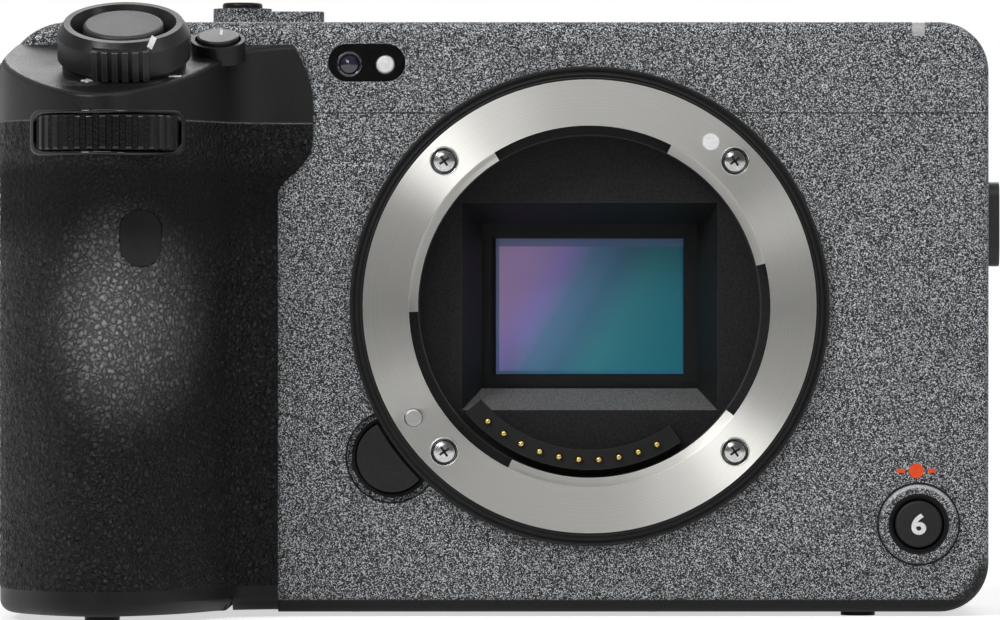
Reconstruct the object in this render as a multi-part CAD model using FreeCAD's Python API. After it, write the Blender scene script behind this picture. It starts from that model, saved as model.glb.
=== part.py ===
import FreeCAD, Part
import os
from math import cos, pi, radians, sin, tan
from FreeCAD import Placement, Rotation, Vector

# Cinema camera body without a lens, in millimetres.
# The origin is the centre of the lens mount in its flange plane.
# +X is to the right seen from the front, +Y runs into the body and +Z is up.

# Clearances and a length that reaches past every face
fit_gap = 0.05
door_gap = 0.15
part_gap = 0.3
far = 150.0

# Casing
case_front_y = 2.6
case_right_x = 51.0
case_top_z = 36.34
case_bottom_z = -39.03
case_wall = 2.0
corner_r = 6.3
edge_r = 1.4
top_seam_z = case_top_z - 11.66
bottom_seam_z = case_bottom_z + 1.53
rear_joint_y = 24.0
split_x = -39.8

# Lens mount
throat_r = 23.05
channel_r = throat_r + 0.35
flange_r = 28.9
surround_r = 30.6
surround_front_y = 1.5
plate_front_y = case_front_y + case_wall
tab_front_y = 1.3
tab_thick = 1.6
tab_inner_r = throat_r - 1.15
tab_angles = [(121.8, 181.8), (13.7, 63.1), (243.2, 322.8)]
screw_pitch_r = 26.2
screw_head_r = 1.64
screw_shank_r = 0.9
index_dot_xz = (15.43, 20.98)
index_dot_r = 1.08
lock_pin_xz = (-22.45, -14.2)
lock_pin_r = 1.15
lock_travel = 1.5
release_xz = (-25.2, -19.2)
release_r = 4.5
release_proud = 0.8
release_recess_r = 5.9
release_recess_depth = 0.9
lock_arm_thick = 1.2
lock_arm_width = 3.0
lock_pin_front_y = -1.2

# Light box, contacts and sensor
plate_thick = 3.4
plate_half_x = 32.5
plate_half_z = 32.0
throat_floor = 0.6
tunnel_half_x = 20.5
tunnel_half_z = 17.0
box_mouth = (16.4, 13.3)
box_exit = (13.9, 10.6)
contact_count = 10
contact_r = 19.6
contact_first_deg = 228.5
contact_step_deg = 7.49
contact_pin_r = 0.45
contact_half_width = 1.3
contact_end_deg = 8.0
contact_front_y = case_front_y
contact_pin_proud = 0.7
sensor_y = 18.0
box_back_y = sensor_y - 2.5
die_size = (24.2, 17.5)
package_rim = 4.0
glass_size = (27.0, 20.4)
glass_thick = 0.8
carrier_half = (19.0, 15.5)
carrier_thick = 1.4
carrier_front_y = sensor_y - 0.2
stage_rim = 4.0
stage_thick = 2.4
slide_gap = 0.1
shift_travel = 1.0
sensor_stack_y = sensor_y + 3.0
sensor_board_thick = 1.2
base_back_y = sensor_stack_y + 4.0
base_rim = 4.0

# Cooling and boards
fan_r = 14.0
fan_blades = 9
fan_thick = 4.5
fan_shaft_r = 1.0
sink_half = (26.0, 22.5)
sink_plate = 1.5
sink_depth = 7.5
fin_thick = 0.8
fin_pitch = 3.2
fan_hub_r = 5.2
blade_thick = 0.9
blade_angle = 38.0
board_y = base_back_y + sink_plate + sink_depth + 2.0
board_thick = 1.4
board_x = (-35.0, case_right_x - 5.0)
board_z = (-33.0, 22.0)
chip_thick = 1.1
chips = [
    (-8.0, 2.0, 15.0, 15.0),
    (14.0, 6.0, 11.0, 13.0),
    (-24.0, -14.0, 10.0, 8.0),
    (28.0, -16.0, 12.0, 9.0),
]
post_r = 2.0
posts = [(-32.0, -30.5), (36.0, -30.5), (-32.0, 19.5), (33.0, 19.5)]

# Sockets: the middle height, the mouth's height and width, and whether it is round
socket_list = [
    (11.5, 14.0, 4.5, False),
    (-5.0, 8.4, 2.6, False),
    (-14.0, 3.6, 3.6, True),
    (-23.5, 3.6, 3.6, True),
]
socket_length = 11.0
socket_wall = 0.7
socket_floor = 3.5
socket_middle = 3.1

# Grip outline
grip_nose = (-61.5, -25.6)
head_x = -35.3
grip_root_x = head_x + 0.4
grip_flank_y = 2.0
leather_thick = 1.2
leather_top_z = top_seam_z - 1.28
leather_bottom_z = case_bottom_z + 3.43
leather_back_y = 14.0
head_low_z = 14.7
grip_wall = 1.8
base_bottom_z = case_bottom_z + 0.33
base_edge_r = 1.6
shoulder_r = 8.5
deck_rim_r = 0.6
deck_tilt = 13.8
deck_back_z = case_top_z - 2.94

# Grip controls
controls_tilt = 22.0
controls_y = -11.0
controls_z = case_top_z - 5.04
zoom_xy = (-58.7, controls_y)
zoom_r = 8.4
zoom_height = 4.5
zoom_bevel = (0.9, 1.4)
zoom_bore_r = 5.4
zoom_mouth_r = 6.7
zoom_cup_z = 1.6
zoom_boss_r = 7.8
zoom_tab = (3.6, 1.2)
zoom_rib = (0.56, 1.3)
shutter_r = 5.1
shutter_travel = 0.9
zoom_post_r = 3.2
custom_xy = (-47.2, -3.2)
custom_r = 2.65
custom_collar_z = -0.55
custom_collar_r = custom_r + 0.8
button_travel = 0.6
front_dial_xy = (-60.6, -16.9)
front_dial_r = 9.0
front_dial_z = (19.5, 23.9)
ir_xz = (-56.0, 8.5)
ir_size = (4.9, 7.0)

# Battery, card and their doors
battery_size = (22.7, 38.7, 51.7)
battery_x = -59.9
battery_front_y = -1.0
battery_back_y = battery_front_y + battery_size[1]
bay_gap = 0.3
bay_wall = 1.0
grip_side = 2.45
door_thick = 1.8
door_seat = 0.1
door_pin_r = 0.5
door_pin_length = 0.9
scoop_r = 1.6
battery_door_x = (battery_x - battery_size[0] / 2 - 0.75, battery_x + battery_size[0] / 2 + 1.95)
battery_door_y = (battery_front_y - 1.4, battery_back_y + 1.5)
latch_travel = 1.5
latch_length = 6.8
latch_half_width = 3.0
latch_half_thick = 0.4
card_size = (32.0, 2.1, 24.0)
card_end_gap = 1.2
card_slot_wall = 1.2
card_y = battery_back_y + bay_gap + bay_wall + 2.0
card_z = -17.0
card_door_y = (card_y - 8.0, card_y + 2.6)
card_door_rim = 2.4

# The casing is deep enough for the card's slot and for the sockets, and wide enough for card and battery
card_stack_y = card_y + card_size[1] + card_slot_wall + 0.7
board_stack_y = board_y + board_thick + socket_middle + 4.5
case_back_y = max(card_stack_y, board_stack_y) + case_wall
card_stack_x = split_x - 0.2 - card_size[0] - card_end_gap - door_thick
battery_stack_x = battery_x - battery_size[0] / 2 - bay_gap - bay_wall - grip_side
case_left_x = min(card_stack_x, battery_stack_x)

# Right side
panel_y = (8.0, case_back_y - 3.0)
panel_z = (-31.0, 22.0)
panel_thick = 2.4
port_door_y = (board_y - 3.0, board_y + 7.0)
port_doors_z = [(2.5, 20.5), (-29.0, -0.5)]
vent_y = (11.0, 30.0)
vent_z = (-28.0, 1.0)
vent_slot = 1.6
vent_pitch = 3.2

# Lugs, threads and feet
lug_y = 22.0
lug_width = 11.0
lug_left_z = (case_top_z - 17.54, case_top_z - 4.84)
lug_right_z = (5.2, 16.1)
lug_left_x = case_left_x - 1.4
lug_right_x = case_right_x + 2.0
lug_depth = 4.6
lug_bar = 1.3
lug_slot = 1.9
lug_side = 1.4
lug_corner_r = 2.4
thread_r = 3.175
bush_r = 4.6
bush_length = 6.0
top_threads = [(31.0, 16.0), (31.0, 36.0), (-24.0, 16.0)]
tripod_xy = (0.0, 22.0)
foot_z = case_bottom_z - 0.57
foot_r = 2.2
feet = [(34.4, 8.0), (34.4, 40.0), (-36.0, 40.0)]
grip_feet = [(-61.0, -19.0)]

# Shoe
shoe_y = (15.0, 35.0)
shoe_floor_z = case_top_z - 4.34
shoe_plate = 0.8
shoe_foot_w = 18.6
shoe_throat_w = 12.6
shoe_foot_h = 2.1
shoe_wall = 1.1

# Front details
record_xz = (case_right_x - 9.0, -27.8)
record_collar_r = 5.1
record_collar_proud = 0.9
record_cup_r = record_collar_r - 0.7
record_cup_depth = 1.6
record_recess_r = 3.65
record_r = 3.0
record_proud = 0.75
window_xz = (-28.45, case_top_z - 5.24)
window_size = (9.9, 4.85)
lens_eye_xz = (window_xz[0] - 2.25, window_xz[1] - 0.2)
lens_eye_r = 1.65
assist_xz = (window_xz[0] + 2.35, window_xz[1] - 0.2)
assist_r = 1.26
tally_x = (case_right_x - 9.8, case_right_x - 8.2)
tally_low_z = case_top_z - 1.84
tally_depth = 9.0

# Screen and rear controls
screen_x = (-23.0, case_right_x - 6.0)
screen_z = (-25.0, 27.0)
screen_thick = 8.6
screen_gap = 0.8
arm_width = 8.0
arm_thick = 4.8
arm_z = (-8.8, 10.8)
hinge_r = 2.2
shaft_r = 1.2
wheel_xz = (-55.0, -17.0)
wheel_r = 11.0
wheel_hub_r = 4.6
select_r = 3.3
stick_xz = (-47.0, 6.5)
stick_r = 3.4
rear_dial_xy = (-58.0, case_back_y - 8.4)
rear_dial_r = 10.0
rear_dial_z = (case_top_z - 7.04, case_top_z - 3.04)
rear_button_r = 3.0
rear_buttons = {
    "menu_button": (-33.0, 30.2),
    "function_button": (-33.0, -8.0),
    "playback_button": (-33.0, -22.0),
}
rest_height = 11.0
rest_x = (case_left_x + 1.6, case_left_x + 22.0)
rest_z = (-3.0, 26.0)
rest_taper = [(0.0, 0.0, 0.0, 0.0), (0.45, 0.8, 6.5, 2.6), (0.8, 1.6, 9.6, 4.6), (1.0, 3.2, 12.2, 7.2)]
power_xy = (-45.3, 27.5)
power_r = 3.8
power_stem_r = 2.0
power_top_z = case_top_z + 2.46
power_tab_x = -34.7
power_tab_half = 2.6
power_tab_drop = 0.4
power_button_r = 2.6

screen_front_y = case_back_y + screen_gap
screen_back_y = screen_front_y + screen_thick
hinge_x = screen_x[1] + hinge_r + part_gap
tilt_z = (screen_z[0] + screen_z[1]) / 2


def box(x, y, z):
    """A block between three pairs of limits."""
    block = Part.makeBox(x[1] - x[0], y[1] - y[0], z[1] - z[0])
    block.translate(Vector(x[0], y[0], z[0]))
    return block


def rod(radius, start, direction, length):
    """A cylinder from a point along a direction."""
    return Part.makeCylinder(radius, length, Vector(*start), Vector(*direction))


def rod_y(xz, radius, y0, y1):
    return rod(radius, (xz[0], y0, xz[1]), (0, 1, 0), y1 - y0)


def rod_z(xy, radius, z0, z1):
    return rod(radius, (xy[0], xy[1], z0), (0, 0, 1), z1 - z0)


def ring_y(xz, outer, inner, y0, y1):
    return rod_y(xz, outer, y0, y1).cut(rod_y(xz, inner, y0 - 1, y1 + 1))


def ring_z(xy, outer, inner, z0, z1):
    return rod_z(xy, outer, z0, z1).cut(rod_z(xy, inner, z0 - 1, z1 + 1))


def rounded(block, direction, radius):
    """Round the edges of a block that run along one direction."""
    along = Vector(*direction)
    picked = []
    for edge in block.Edges:
        if abs(edge.tangentAt(edge.FirstParameter).dot(along)) > 0.99:
            picked.append(edge)
    return block.makeFillet(radius, picked)


def slot_y(xz, size, y0, y1):
    """A prism along Y with fully rounded ends, wider than high."""
    half = (size[0] - size[1]) / 2
    left = rod_y((xz[0] - half, xz[1]), size[1] / 2, y0, y1)
    right = rod_y((xz[0] + half, xz[1]), size[1] / 2, y0, y1)
    x = (xz[0] - half, xz[0] + half)
    z = (xz[1] - size[1] / 2, xz[1] + size[1] / 2)
    return left.fuse([right, box(x, (y0, y1), z)]).removeSplitter()


def polar(radius, degrees):
    angle = radians(degrees)
    return radius * cos(angle), radius * sin(angle)


def sector(inner, outer, angles, y0, y1):
    """A ring segment about the mount axis between two angles seen from the front."""
    a = Vector(0, y0, 0)
    pie = Part.makeCylinder(outer, y1 - y0, a, Vector(0, 1, 0), angles[1] - angles[0])
    # A cylinder along +Y starts at +Z and turns towards +X, so it is turned to its end angle.
    pie.rotate(a, Vector(0, 1, 0), 90 - angles[1])
    return pie.cut(rod_y((0, 0), inner, y0 - 1, y1 + 1))


def button(centre, out, cap_r, proud, travel, stem_r, stem_length):
    """A push button: a cap that stands proud of its surface, and a thinner stem behind it."""
    base = Vector(*centre)
    way = Vector(*out)
    under = base - way * (pocket_depth(travel) - travel - fit_gap)
    height = proud + (base - under).Length
    cap = Part.makeCylinder(cap_r, height, under, way)
    rim = [edge for edge in cap.Edges if edge.Closed and (edge.CenterOfMass - base).dot(way) > 0]
    cap = cap.makeFillet(min(0.35, proud / 2), rim)
    stem = Part.makeCylinder(stem_r, stem_length, under - way * stem_length, way)
    return cap.fuse(stem).removeSplitter()


def pocket_depth(travel):
    return travel + 0.5


def button_pocket(centre, out, cap_r, travel, stem_r, depth):
    """What a button's pocket and the hole for its stem take out of a wall."""
    base = Vector(*centre)
    way = Vector(*out)
    deep = pocket_depth(travel)
    pocket = Part.makeCylinder(cap_r + part_gap, deep + 5, base - way * deep, way)
    hole = Part.makeCylinder(stem_r + fit_gap, depth, base - way * depth, way)
    return pocket.fuse(hole)


def envelope(inset, y, low_z):
    """The main casing's outline between two depths, moved inwards by a wall, down to a given floor."""
    x = (split_x - 20, case_right_x - inset)
    block = rounded(box(x, y, (low_z, case_top_z - inset)), (0, 1, 0), corner_r - inset)
    return block.common(box((split_x, far), (-far, far), (-far, far)))


def casing_block():
    """The main casing as a full block with soft edges."""
    outer = envelope(0, (case_front_y, case_back_y), case_bottom_z)
    picked = []
    for edge in outer.Edges:
        centre = edge.CenterOfMass
        on_face = min(abs(centre.y - case_front_y), abs(centre.y - case_back_y)) < 0.01
        if on_face and centre.x > split_x + 0.1:
            picked.append(edge)
    return outer.makeFillet(edge_r, picked)


def casing_shell():
    """The hollow casing that the covers are cut from."""
    hollow = envelope(case_wall, (case_front_y + case_wall, case_back_y - case_wall), bottom_seam_z)
    return casing_block().cut(hollow)


def grip_outline(inset, back):
    """The grip's outline from above, with each point of the nose moved inwards by a wall."""
    left = case_left_x + inset
    nose_x, nose_y = grip_nose
    points = [
        Vector(left, grip_flank_y, 0),
        Vector(left + 3.4 - 0.2 * inset, nose_y + 10.1, 0),
        Vector(nose_x, nose_y + inset, 0),
        Vector(nose_x + 9.7 - 0.8 * inset, nose_y + 8.1 + 0.4 * inset, 0),
        Vector(nose_x + 15.2 - 0.9 * inset, nose_y + 21.1 + 0.3 * inset, 0),
        Vector(grip_root_x, case_front_y - 0.4 + inset, 0),
    ]
    nose = Part.BSplineCurve()
    nose.interpolate(Points=points, InitialTangent=Vector(0, -30, 0), FinalTangent=Vector(30, 4, 0))
    right_back = Vector(grip_root_x, back, 0)
    left_back = Vector(left, back, 0)
    edges = [nose.toShape()]
    edges.append(Part.makeLine(points[-1], right_back))
    edges.append(Part.makeLine(right_back, left_back))
    edges.append(Part.makeLine(left_back, points[0]))
    return Part.Face(Part.Wire(edges))


def grip_prism(inset, back, z0, z1):
    prism = grip_outline(inset, back).extrude(Vector(0, 0, z1 - z0))
    prism.translate(Vector(0, 0, z0))
    return prism


def grip_block(inset, back, z0, z1, side=0):
    """The grip's body beside the casing, cut off at the casing's side."""
    return grip_prism(inset, back, z0, z1).common(box((-far, split_x - side), (-far, far), (z0, z1)))


def deck_z(y):
    return deck_back_z + tan(radians(deck_tilt)) * (y - case_front_y)


def control_z(y):
    """The height of the plane that the zoom lever and the custom button stand on, steeper than the deck."""
    return controls_z + tan(radians(controls_tilt)) * (y - controls_y)


def on_controls(shape, xy):
    """Place a shape made upright at the origin on the plane of the controls."""
    moved = shape.copy()
    place = Placement(Vector(xy[0], xy[1], control_z(xy[1])), Rotation(Vector(1, 0, 0), controls_tilt))
    moved.transformShape(place.toMatrix(), True)
    return moved


def above_deck(drop, over):
    """The space above the sloping deck, lowered by a drop."""
    slab = box((-far, far), (-60, over), (-drop, 60))
    slab.rotate(Vector(0, 0, 0), Vector(1, 0, 0), deck_tilt)
    slab.translate(Vector(0, case_front_y, deck_back_z))
    return slab


def ir_plug(grow, y0, y1):
    """An upright prism along Y with rounded ends."""
    half_x = ir_size[0] / 2 + grow
    half_z = ir_size[1] / 2 + grow
    block = box((ir_xz[0] - half_x, ir_xz[0] + half_x), (y0, y1), (ir_xz[1] - half_z, ir_xz[1] + half_z))
    return rounded(block, (0, 1, 0), half_x - 0.05)


def front_dial_slot():
    z = (front_dial_z[0] - part_gap, front_dial_z[1] + part_gap)
    return rod_z(front_dial_xy, front_dial_r + part_gap + 0.1, z[0], z[1])


def outward(side):
    """The way out of the body along X on each side."""
    return -1 if side == "left" else 1


def shoulder(inset, front, back):
    """The space under the flat top and its rounded left shoulder, over the grip."""
    block = box((case_left_x + inset, 0), (front, back), (leather_bottom_z - 5, case_top_z - inset))
    picked = []
    for edge in block.Edges:
        centre = edge.CenterOfMass
        if abs(centre.x - case_left_x - inset) < 0.01 and abs(centre.z - case_top_z + inset) < 0.01:
            picked.append(edge)
    return block.makeFillet(shoulder_r - inset, picked)


def lug(side):
    """A strap lug: a block let into the wall, with a slot behind its outer bar."""
    outer = lug_left_x if side == "left" else lug_right_x
    z = lug_left_z if side == "left" else lug_right_z
    way = outward(side)
    x = sorted([outer - way * lug_depth, outer])
    block = rounded(box(x, lug_span(0), z), (1, 0, 0), lug_corner_r)
    slot = sorted([outer - way * lug_bar, outer - way * (lug_bar + lug_slot)])
    return block.cut(box(slot, lug_span(-lug_side), (z[0] - 1, z[1] + 1)))


def lug_span(grow):
    return (lug_y - lug_width / 2 - grow, lug_y + lug_width / 2 + grow)


def lug_cut(side):
    """The seat of a lug in the wall, with a pocket above and below for the strap."""
    outer = lug_left_x if side == "left" else lug_right_x
    z = lug_left_z if side == "left" else lug_right_z
    way = outward(side)
    x = sorted([outer - way * lug_depth, outer + way])
    seat = rounded(box(x, lug_span(0), z), (1, 0, 0), lug_corner_r)
    pocket = sorted([outer + way, outer - way * (lug_bar + lug_slot)])
    return seat.fuse(box(pocket, lug_span(-lug_side), (z[0] - 2.5, z[1] + 2.5)))


def bush_places():
    """Each thread bush as its mouth and the way out of it."""
    places = [((x, y, case_top_z), (0, 0, 1)) for x, y in top_threads]
    places.append(((tripod_xy[0], tripod_xy[1], case_bottom_z), (0, 0, -1)))
    return places


def bush_cut():
    cuts = []
    for mouth, out in bush_places():
        start = Vector(*mouth) + Vector(*out)
        cuts.append(Part.makeCylinder(bush_r, bush_length + 1, start, Vector(*out) * -1))
    return cuts


def thread_bushes():
    bushes = []
    for mouth, out in bush_places():
        point = Vector(*mouth)
        way = Vector(*out) * -1
        tube = Part.makeCylinder(bush_r, bush_length, point, way)
        bore = Part.makeCylinder(thread_r, bush_length - 1, point, way)
        bushes.append(tube.cut(bore))
    return Part.makeCompound(bushes)


def port_panel_space(grow):
    x = (case_right_x - panel_thick - grow, case_right_x + 1)
    y = (panel_y[0] - grow, panel_y[1] + grow)
    z = (panel_z[0] - grow, panel_z[1] + grow)
    return rounded(box(x, y, z), (1, 0, 0), 1.5)


def tally_space():
    return box(tally_x, (case_front_y - 1, tally_depth), (tally_low_z, case_top_z + 1))


def shoe_recess():
    half = shoe_foot_w / 2 + shoe_wall
    return box((-half, half), (shoe_y[0], far), (shoe_floor_z, far))


def front_cover():
    """The cast front shell with the mount's opening, the release recess and the record button's hole."""
    keep = box((split_x, far), (-far, rear_joint_y), (bottom_seam_z, top_seam_z))
    cover = casing_shell().common(keep)
    cover = cover.fuse(release_boss())
    cuts = [rod_y((0, 0), surround_r + fit_gap, -far, 12)]
    cuts.append(rod_y(release_xz, release_recess_r, -far, case_front_y + release_recess_depth))
    cuts.append(rod_y(release_xz, release_r + part_gap, -far, 12))
    cuts.append(rod_y(record_xz, record_cup_r, -far, 12))
    cuts.append(port_panel_space(0))
    cuts.append(rod_y(release_stem_xz(), shaft_r + part_gap, -far, 12))
    return cover.cut(cuts)


def release_boss():
    """A low rim round the release button, cut away where the mount ring passes."""
    rim_r = release_recess_r + 0.5
    return ring_y(release_xz, rim_r, release_recess_r, case_front_y - 0.25, case_front_y + 0.5)


def release_stem_xz():
    length = (release_xz[0] ** 2 + release_xz[1] ** 2) ** 0.5
    reach = surround_r + 3.6
    return (release_xz[0] * reach / length, release_xz[1] * reach / length)


def top_cover():
    """The top shell over the casing and the back of the grip, with the shoe's tub."""
    back = case_back_y - case_wall
    cover = casing_shell().common(box((split_x, far), (-far, back), (top_seam_z, far)))
    above_seam = box((-far, split_x), (-far, back), (top_seam_z, far))
    wing = shoulder(0, case_front_y, back)
    rim = []
    for edge in wing.Edges:
        centre = edge.CenterOfMass
        if abs(centre.y - case_front_y) < 0.01 and centre.z > case_top_z - shoulder_r:
            rim.append(edge)
    wing = wing.makeFillet(edge_r, rim).common(above_seam)
    wing = wing.cut(shoulder(case_wall, case_front_y + case_wall, back + 1))
    half = shoe_foot_w / 2 + shoe_wall + case_wall
    tub_z = (shoe_floor_z - case_wall, case_top_z - case_wall)
    tub = box((-half, half), (shoe_y[0] - case_wall, back), tub_z)
    bosses = []
    for x, y in top_threads:
        bosses.append(rod_z((x, y), bush_r + 1.5, case_top_z - bush_length - 1, case_top_z - case_wall))
    post = rod_z(rear_dial_xy, shaft_r, rear_dial_z[0] - 1.2, case_top_z - case_wall)
    cover = cover.fuse([wing, tub, post] + bosses)
    cuts = [rod_y((0, 0), surround_r + fit_gap, -far, 12)]
    cuts.append(slot_y(window_xz, window_size, -far, 12))
    cuts.append(tally_space())
    cuts.append(shoe_recess())
    cuts.append(lug_cut("left"))
    cuts.append(power_bore())
    cuts += bush_cut()
    return cover.cut(cuts)


def power_bore():
    """The hole for the power lever's sleeve in the top wall."""
    return rod_z(power_xy, power_stem_r + fit_gap, 20, far)


def rear_cover():
    """The rear shell over the casing and the grip, with the hinge ears, pockets and thumb rest."""
    shell = casing_shell()
    inner_y = case_back_y - case_wall
    cover = shell.common(box((split_x, far), (rear_joint_y, inner_y), (bottom_seam_z, top_seam_z)))
    back = shell.common(box((split_x, far), (inner_y, far), (bottom_seam_z, far)))
    wing = grip_back()
    cover = cover.fuse([back, wing, thumb_rest()])
    hub = rod_y(wheel_xz, wheel_hub_r, inner_y, case_back_y + 0.9)
    pocket = ring_y(wheel_xz, wheel_r + part_gap, wheel_hub_r, case_back_y - 1.1, far)
    cover = cover.cut(pocket).fuse([hub] + hinge_ears() + stick_yoke() + board_posts())
    cuts = [port_panel_space(0)]
    cuts.append(rod_y(stick_xz, stick_r - 0.7, inner_y, far))
    for centre in rear_buttons.values():
        place = (centre[0], case_back_y, centre[1])
        cuts.append(button_pocket(place, (0, 1, 0), rear_button_r, button_travel, shaft_r, 6))
    centre = (wheel_xz[0], case_back_y + 0.9, wheel_xz[1])
    cuts.append(button_pocket(centre, (0, 1, 0), select_r, button_travel, shaft_r, 6))
    cuts.append(rod_z(rear_dial_xy, rear_dial_r + part_gap + 0.1, rear_dial_z[0] - part_gap,
                      rear_dial_z[1] + part_gap))
    cuts.append(shoe_recess())
    cuts.append(rod_z((hinge_x, hinge_y()), shaft_r + fit_gap, arm_z[0] - 5, arm_z[1] + 5))
    return cover.cut(cuts)


def grip_back():
    """The rear cover's wing behind the grip, round at the shoulder and at the foot."""
    y = (case_back_y - case_wall, case_back_y)
    wing = shoulder(0, y[0], y[1]).common(box((-far, split_x), y, (base_bottom_z, far)))
    foot = []
    for edge in wing.Edges:
        centre = edge.CenterOfMass
        if abs(centre.x - case_left_x) < 0.01 and abs(centre.z - base_bottom_z) < 0.01:
            foot.append(edge)
    wing = wing.makeFillet(base_edge_r, foot)
    rim = []
    for edge in wing.Edges:
        if abs(edge.CenterOfMass.y - case_back_y) < 0.01 and edge.CenterOfMass.x < split_x - 0.1:
            rim.append(edge)
    return wing.makeFillet(edge_r, rim)


def thumb_rest():
    """A pad lofted from the rear face out to a rounded ridge near the grip's outer edge."""
    sections = []
    for share, left, right, ends in rest_taper:
        y = case_back_y - 0.5 + share * rest_height
        x = (rest_x[0] + left, rest_x[1] - right)
        z = (rest_z[0] + ends, rest_z[1] - ends)
        sections.append(rounded_loop(x, z, y, (x[1] - x[0]) * 0.42))
    return Part.makeLoft(sections, True, False).common(box((-far, far), (0, far), (-far, far)))


def rounded_loop(x, z, y, radius):
    """A closed wire across Y with four straight sides and round corners."""
    block = rounded(box(x, (y, y + 1), z), (0, 1, 0), radius)
    faces = [face for face in block.Faces if abs(face.CenterOfMass.y - y) < 0.001]
    return faces[0].OuterWire


def hinge_y():
    return (screen_front_y + screen_back_y) / 2


def hinge_ears():
    """Two ears on the rear cover that hold the screen arm's hinge pin."""
    ears = []
    for z0, z1 in ((arm_z[0] - 3.6, arm_z[0] - part_gap), (arm_z[1] + part_gap, arm_z[1] + 3.6)):
        barrel = rod_z((hinge_x, hinge_y()), hinge_r, z0, z1)
        foot = box((hinge_x - hinge_r, hinge_x + hinge_r), (case_back_y - 0.5, hinge_y()), (z0, z1))
        ears.append(barrel.fuse(foot).removeSplitter())
    return ears


def stick_yoke():
    """Two ears inside the rear wall that carry the joystick's cross pin."""
    ears = []
    for side in (-1, 1):
        x = sorted([stick_xz[0] + side * 2.0, stick_xz[0] + side * 3.6])
        ear = box(x, (stick_pivot_y() - 1.6, case_back_y - case_wall), (stick_xz[1] - 1.6, stick_xz[1] + 1.6))
        hole = rod(0.75, (x[0] - 1, stick_pivot_y(), stick_xz[1]), (1, 0, 0), 4)
        ears.append(ear.cut(hole))
    return ears


def stick_pivot_y():
    return case_back_y - case_wall - 1.6


def board_posts():
    return [rod_y(place, post_r, board_y + board_thick, case_back_y - case_wall) for place in posts]


def bottom_cover():
    """The black bottom plate with the air inlet, the tripod boss and its feet."""
    plate = casing_block().common(box((split_x, far), (-far, far), (case_bottom_z - 1, bottom_seam_z)))
    boss = rod_z(tripod_xy, bush_r + 1.6, bottom_seam_z, case_bottom_z + bush_length + 1)
    pads = [rod_z(place, foot_r, foot_z, case_bottom_z) for place in feet]
    plate = plate.fuse([boss] + pads)
    cuts = bush_cut()
    for row in range(7):
        y = 10.0 + row * vent_pitch
        cuts.append(slot_z((18.0, y), (16.0, vent_slot), case_bottom_z - 1, bottom_seam_z + 1))
    return plate.cut(cuts)


def slot_z(xy, size, z0, z1):
    half = (size[0] - size[1]) / 2
    left = rod_z((xy[0] - half, xy[1]), size[1] / 2, z0, z1)
    right = rod_z((xy[0] + half, xy[1]), size[1] / 2, z0, z1)
    middle = box((xy[0] - half, xy[0] + half), (xy[1] - size[1] / 2, xy[1] + size[1] / 2), (z0, z1))
    return left.fuse([right, middle]).removeSplitter()


def head_edge(y0, y1):
    """What lies right of the grip's edge: straight up to the head, out round its bulge and back in above."""
    low = Vector(split_x, y0, head_low_z)
    bulge = [
        low,
        Vector(split_x + 0.6, y0, head_low_z + 0.9),
        Vector(head_x - 1.8, y0, head_low_z + 2.9),
        Vector(head_x - 0.4, y0, head_low_z + 4.9),
        Vector(head_x, y0, leather_top_z),
        Vector(head_x - 0.1, y0, leather_top_z + 4),
        Vector(head_x - 2.5, y0, leather_top_z + 10),
        Vector(split_x, y0, case_top_z + 1),
    ]
    curve = Part.BSplineCurve()
    curve.interpolate(bulge)
    foot = Vector(split_x, y0, -60)
    corners = [bulge[-1], Vector(split_x, y0, 60), Vector(20, y0, 60), Vector(20, y0, -60), foot, low]
    edges = [curve.toShape()]
    for start, end in zip(corners, corners[1:]):
        edges.append(Part.makeLine(start, end))
    return Part.Face(Part.Wire(edges)).extrude(Vector(0, y1 - y0, 0))


def grip_leather():
    """The moulded skin round the front of the grip, up to its edge on the casing's face."""
    z = (leather_bottom_z, leather_top_z)
    outer = grip_prism(0, leather_back_y, z[0], z[1])
    inner = grip_prism(leather_thick, leather_back_y + 1, z[0] - 1, z[1] + 1)
    beside = box((-far, split_x), (-far, leather_back_y), z)
    before = box((split_x, far), (-far, case_front_y), z)
    skin = outer.cut(inner).common(beside)
    flap = outer.common(before)
    skin = skin.fuse(flap).removeSplitter()
    return skin.cut([head_edge(-40, leather_back_y), front_dial_slot(), ir_plug(fit_gap, -40, 0)])


def ir_window():
    """The oval window that lies flush in the leather."""
    outer = grip_prism(-0.15, leather_back_y, leather_bottom_z, leather_top_z)
    inner = grip_prism(leather_thick, leather_back_y + 1, leather_bottom_z - 1, leather_top_z + 1)
    return ir_plug(0, -40, 0).common(outer.cut(inner))


def battery_space(grow):
    half = battery_size[0] / 2 + grow
    y = (battery_front_y - grow, battery_front_y + battery_size[1] + grow)
    low = door_top_z() + part_gap
    return box((battery_x - half, battery_x + half), y, (low - 20 * (grow > 0), low + battery_size[2] + grow))


def door_top_z():
    return base_bottom_z + door_thick


def card_left_x():
    return case_left_x + door_thick + card_end_gap


def card_space(grow):
    """The card, or with a clearance its slot, which runs out through the grip's side."""
    x = (card_left_x() - 30 * (grow > 0), card_left_x() + card_size[0] + grow / 2)
    y = (card_y - grow, card_y + card_size[1] + grow)
    half = card_size[2] / 2 + grow
    return box(x, y, (card_z - half, card_z + half))


def card_door_z():
    half = card_size[2] / 2 + card_door_rim
    return card_z - half, card_z + half


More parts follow.
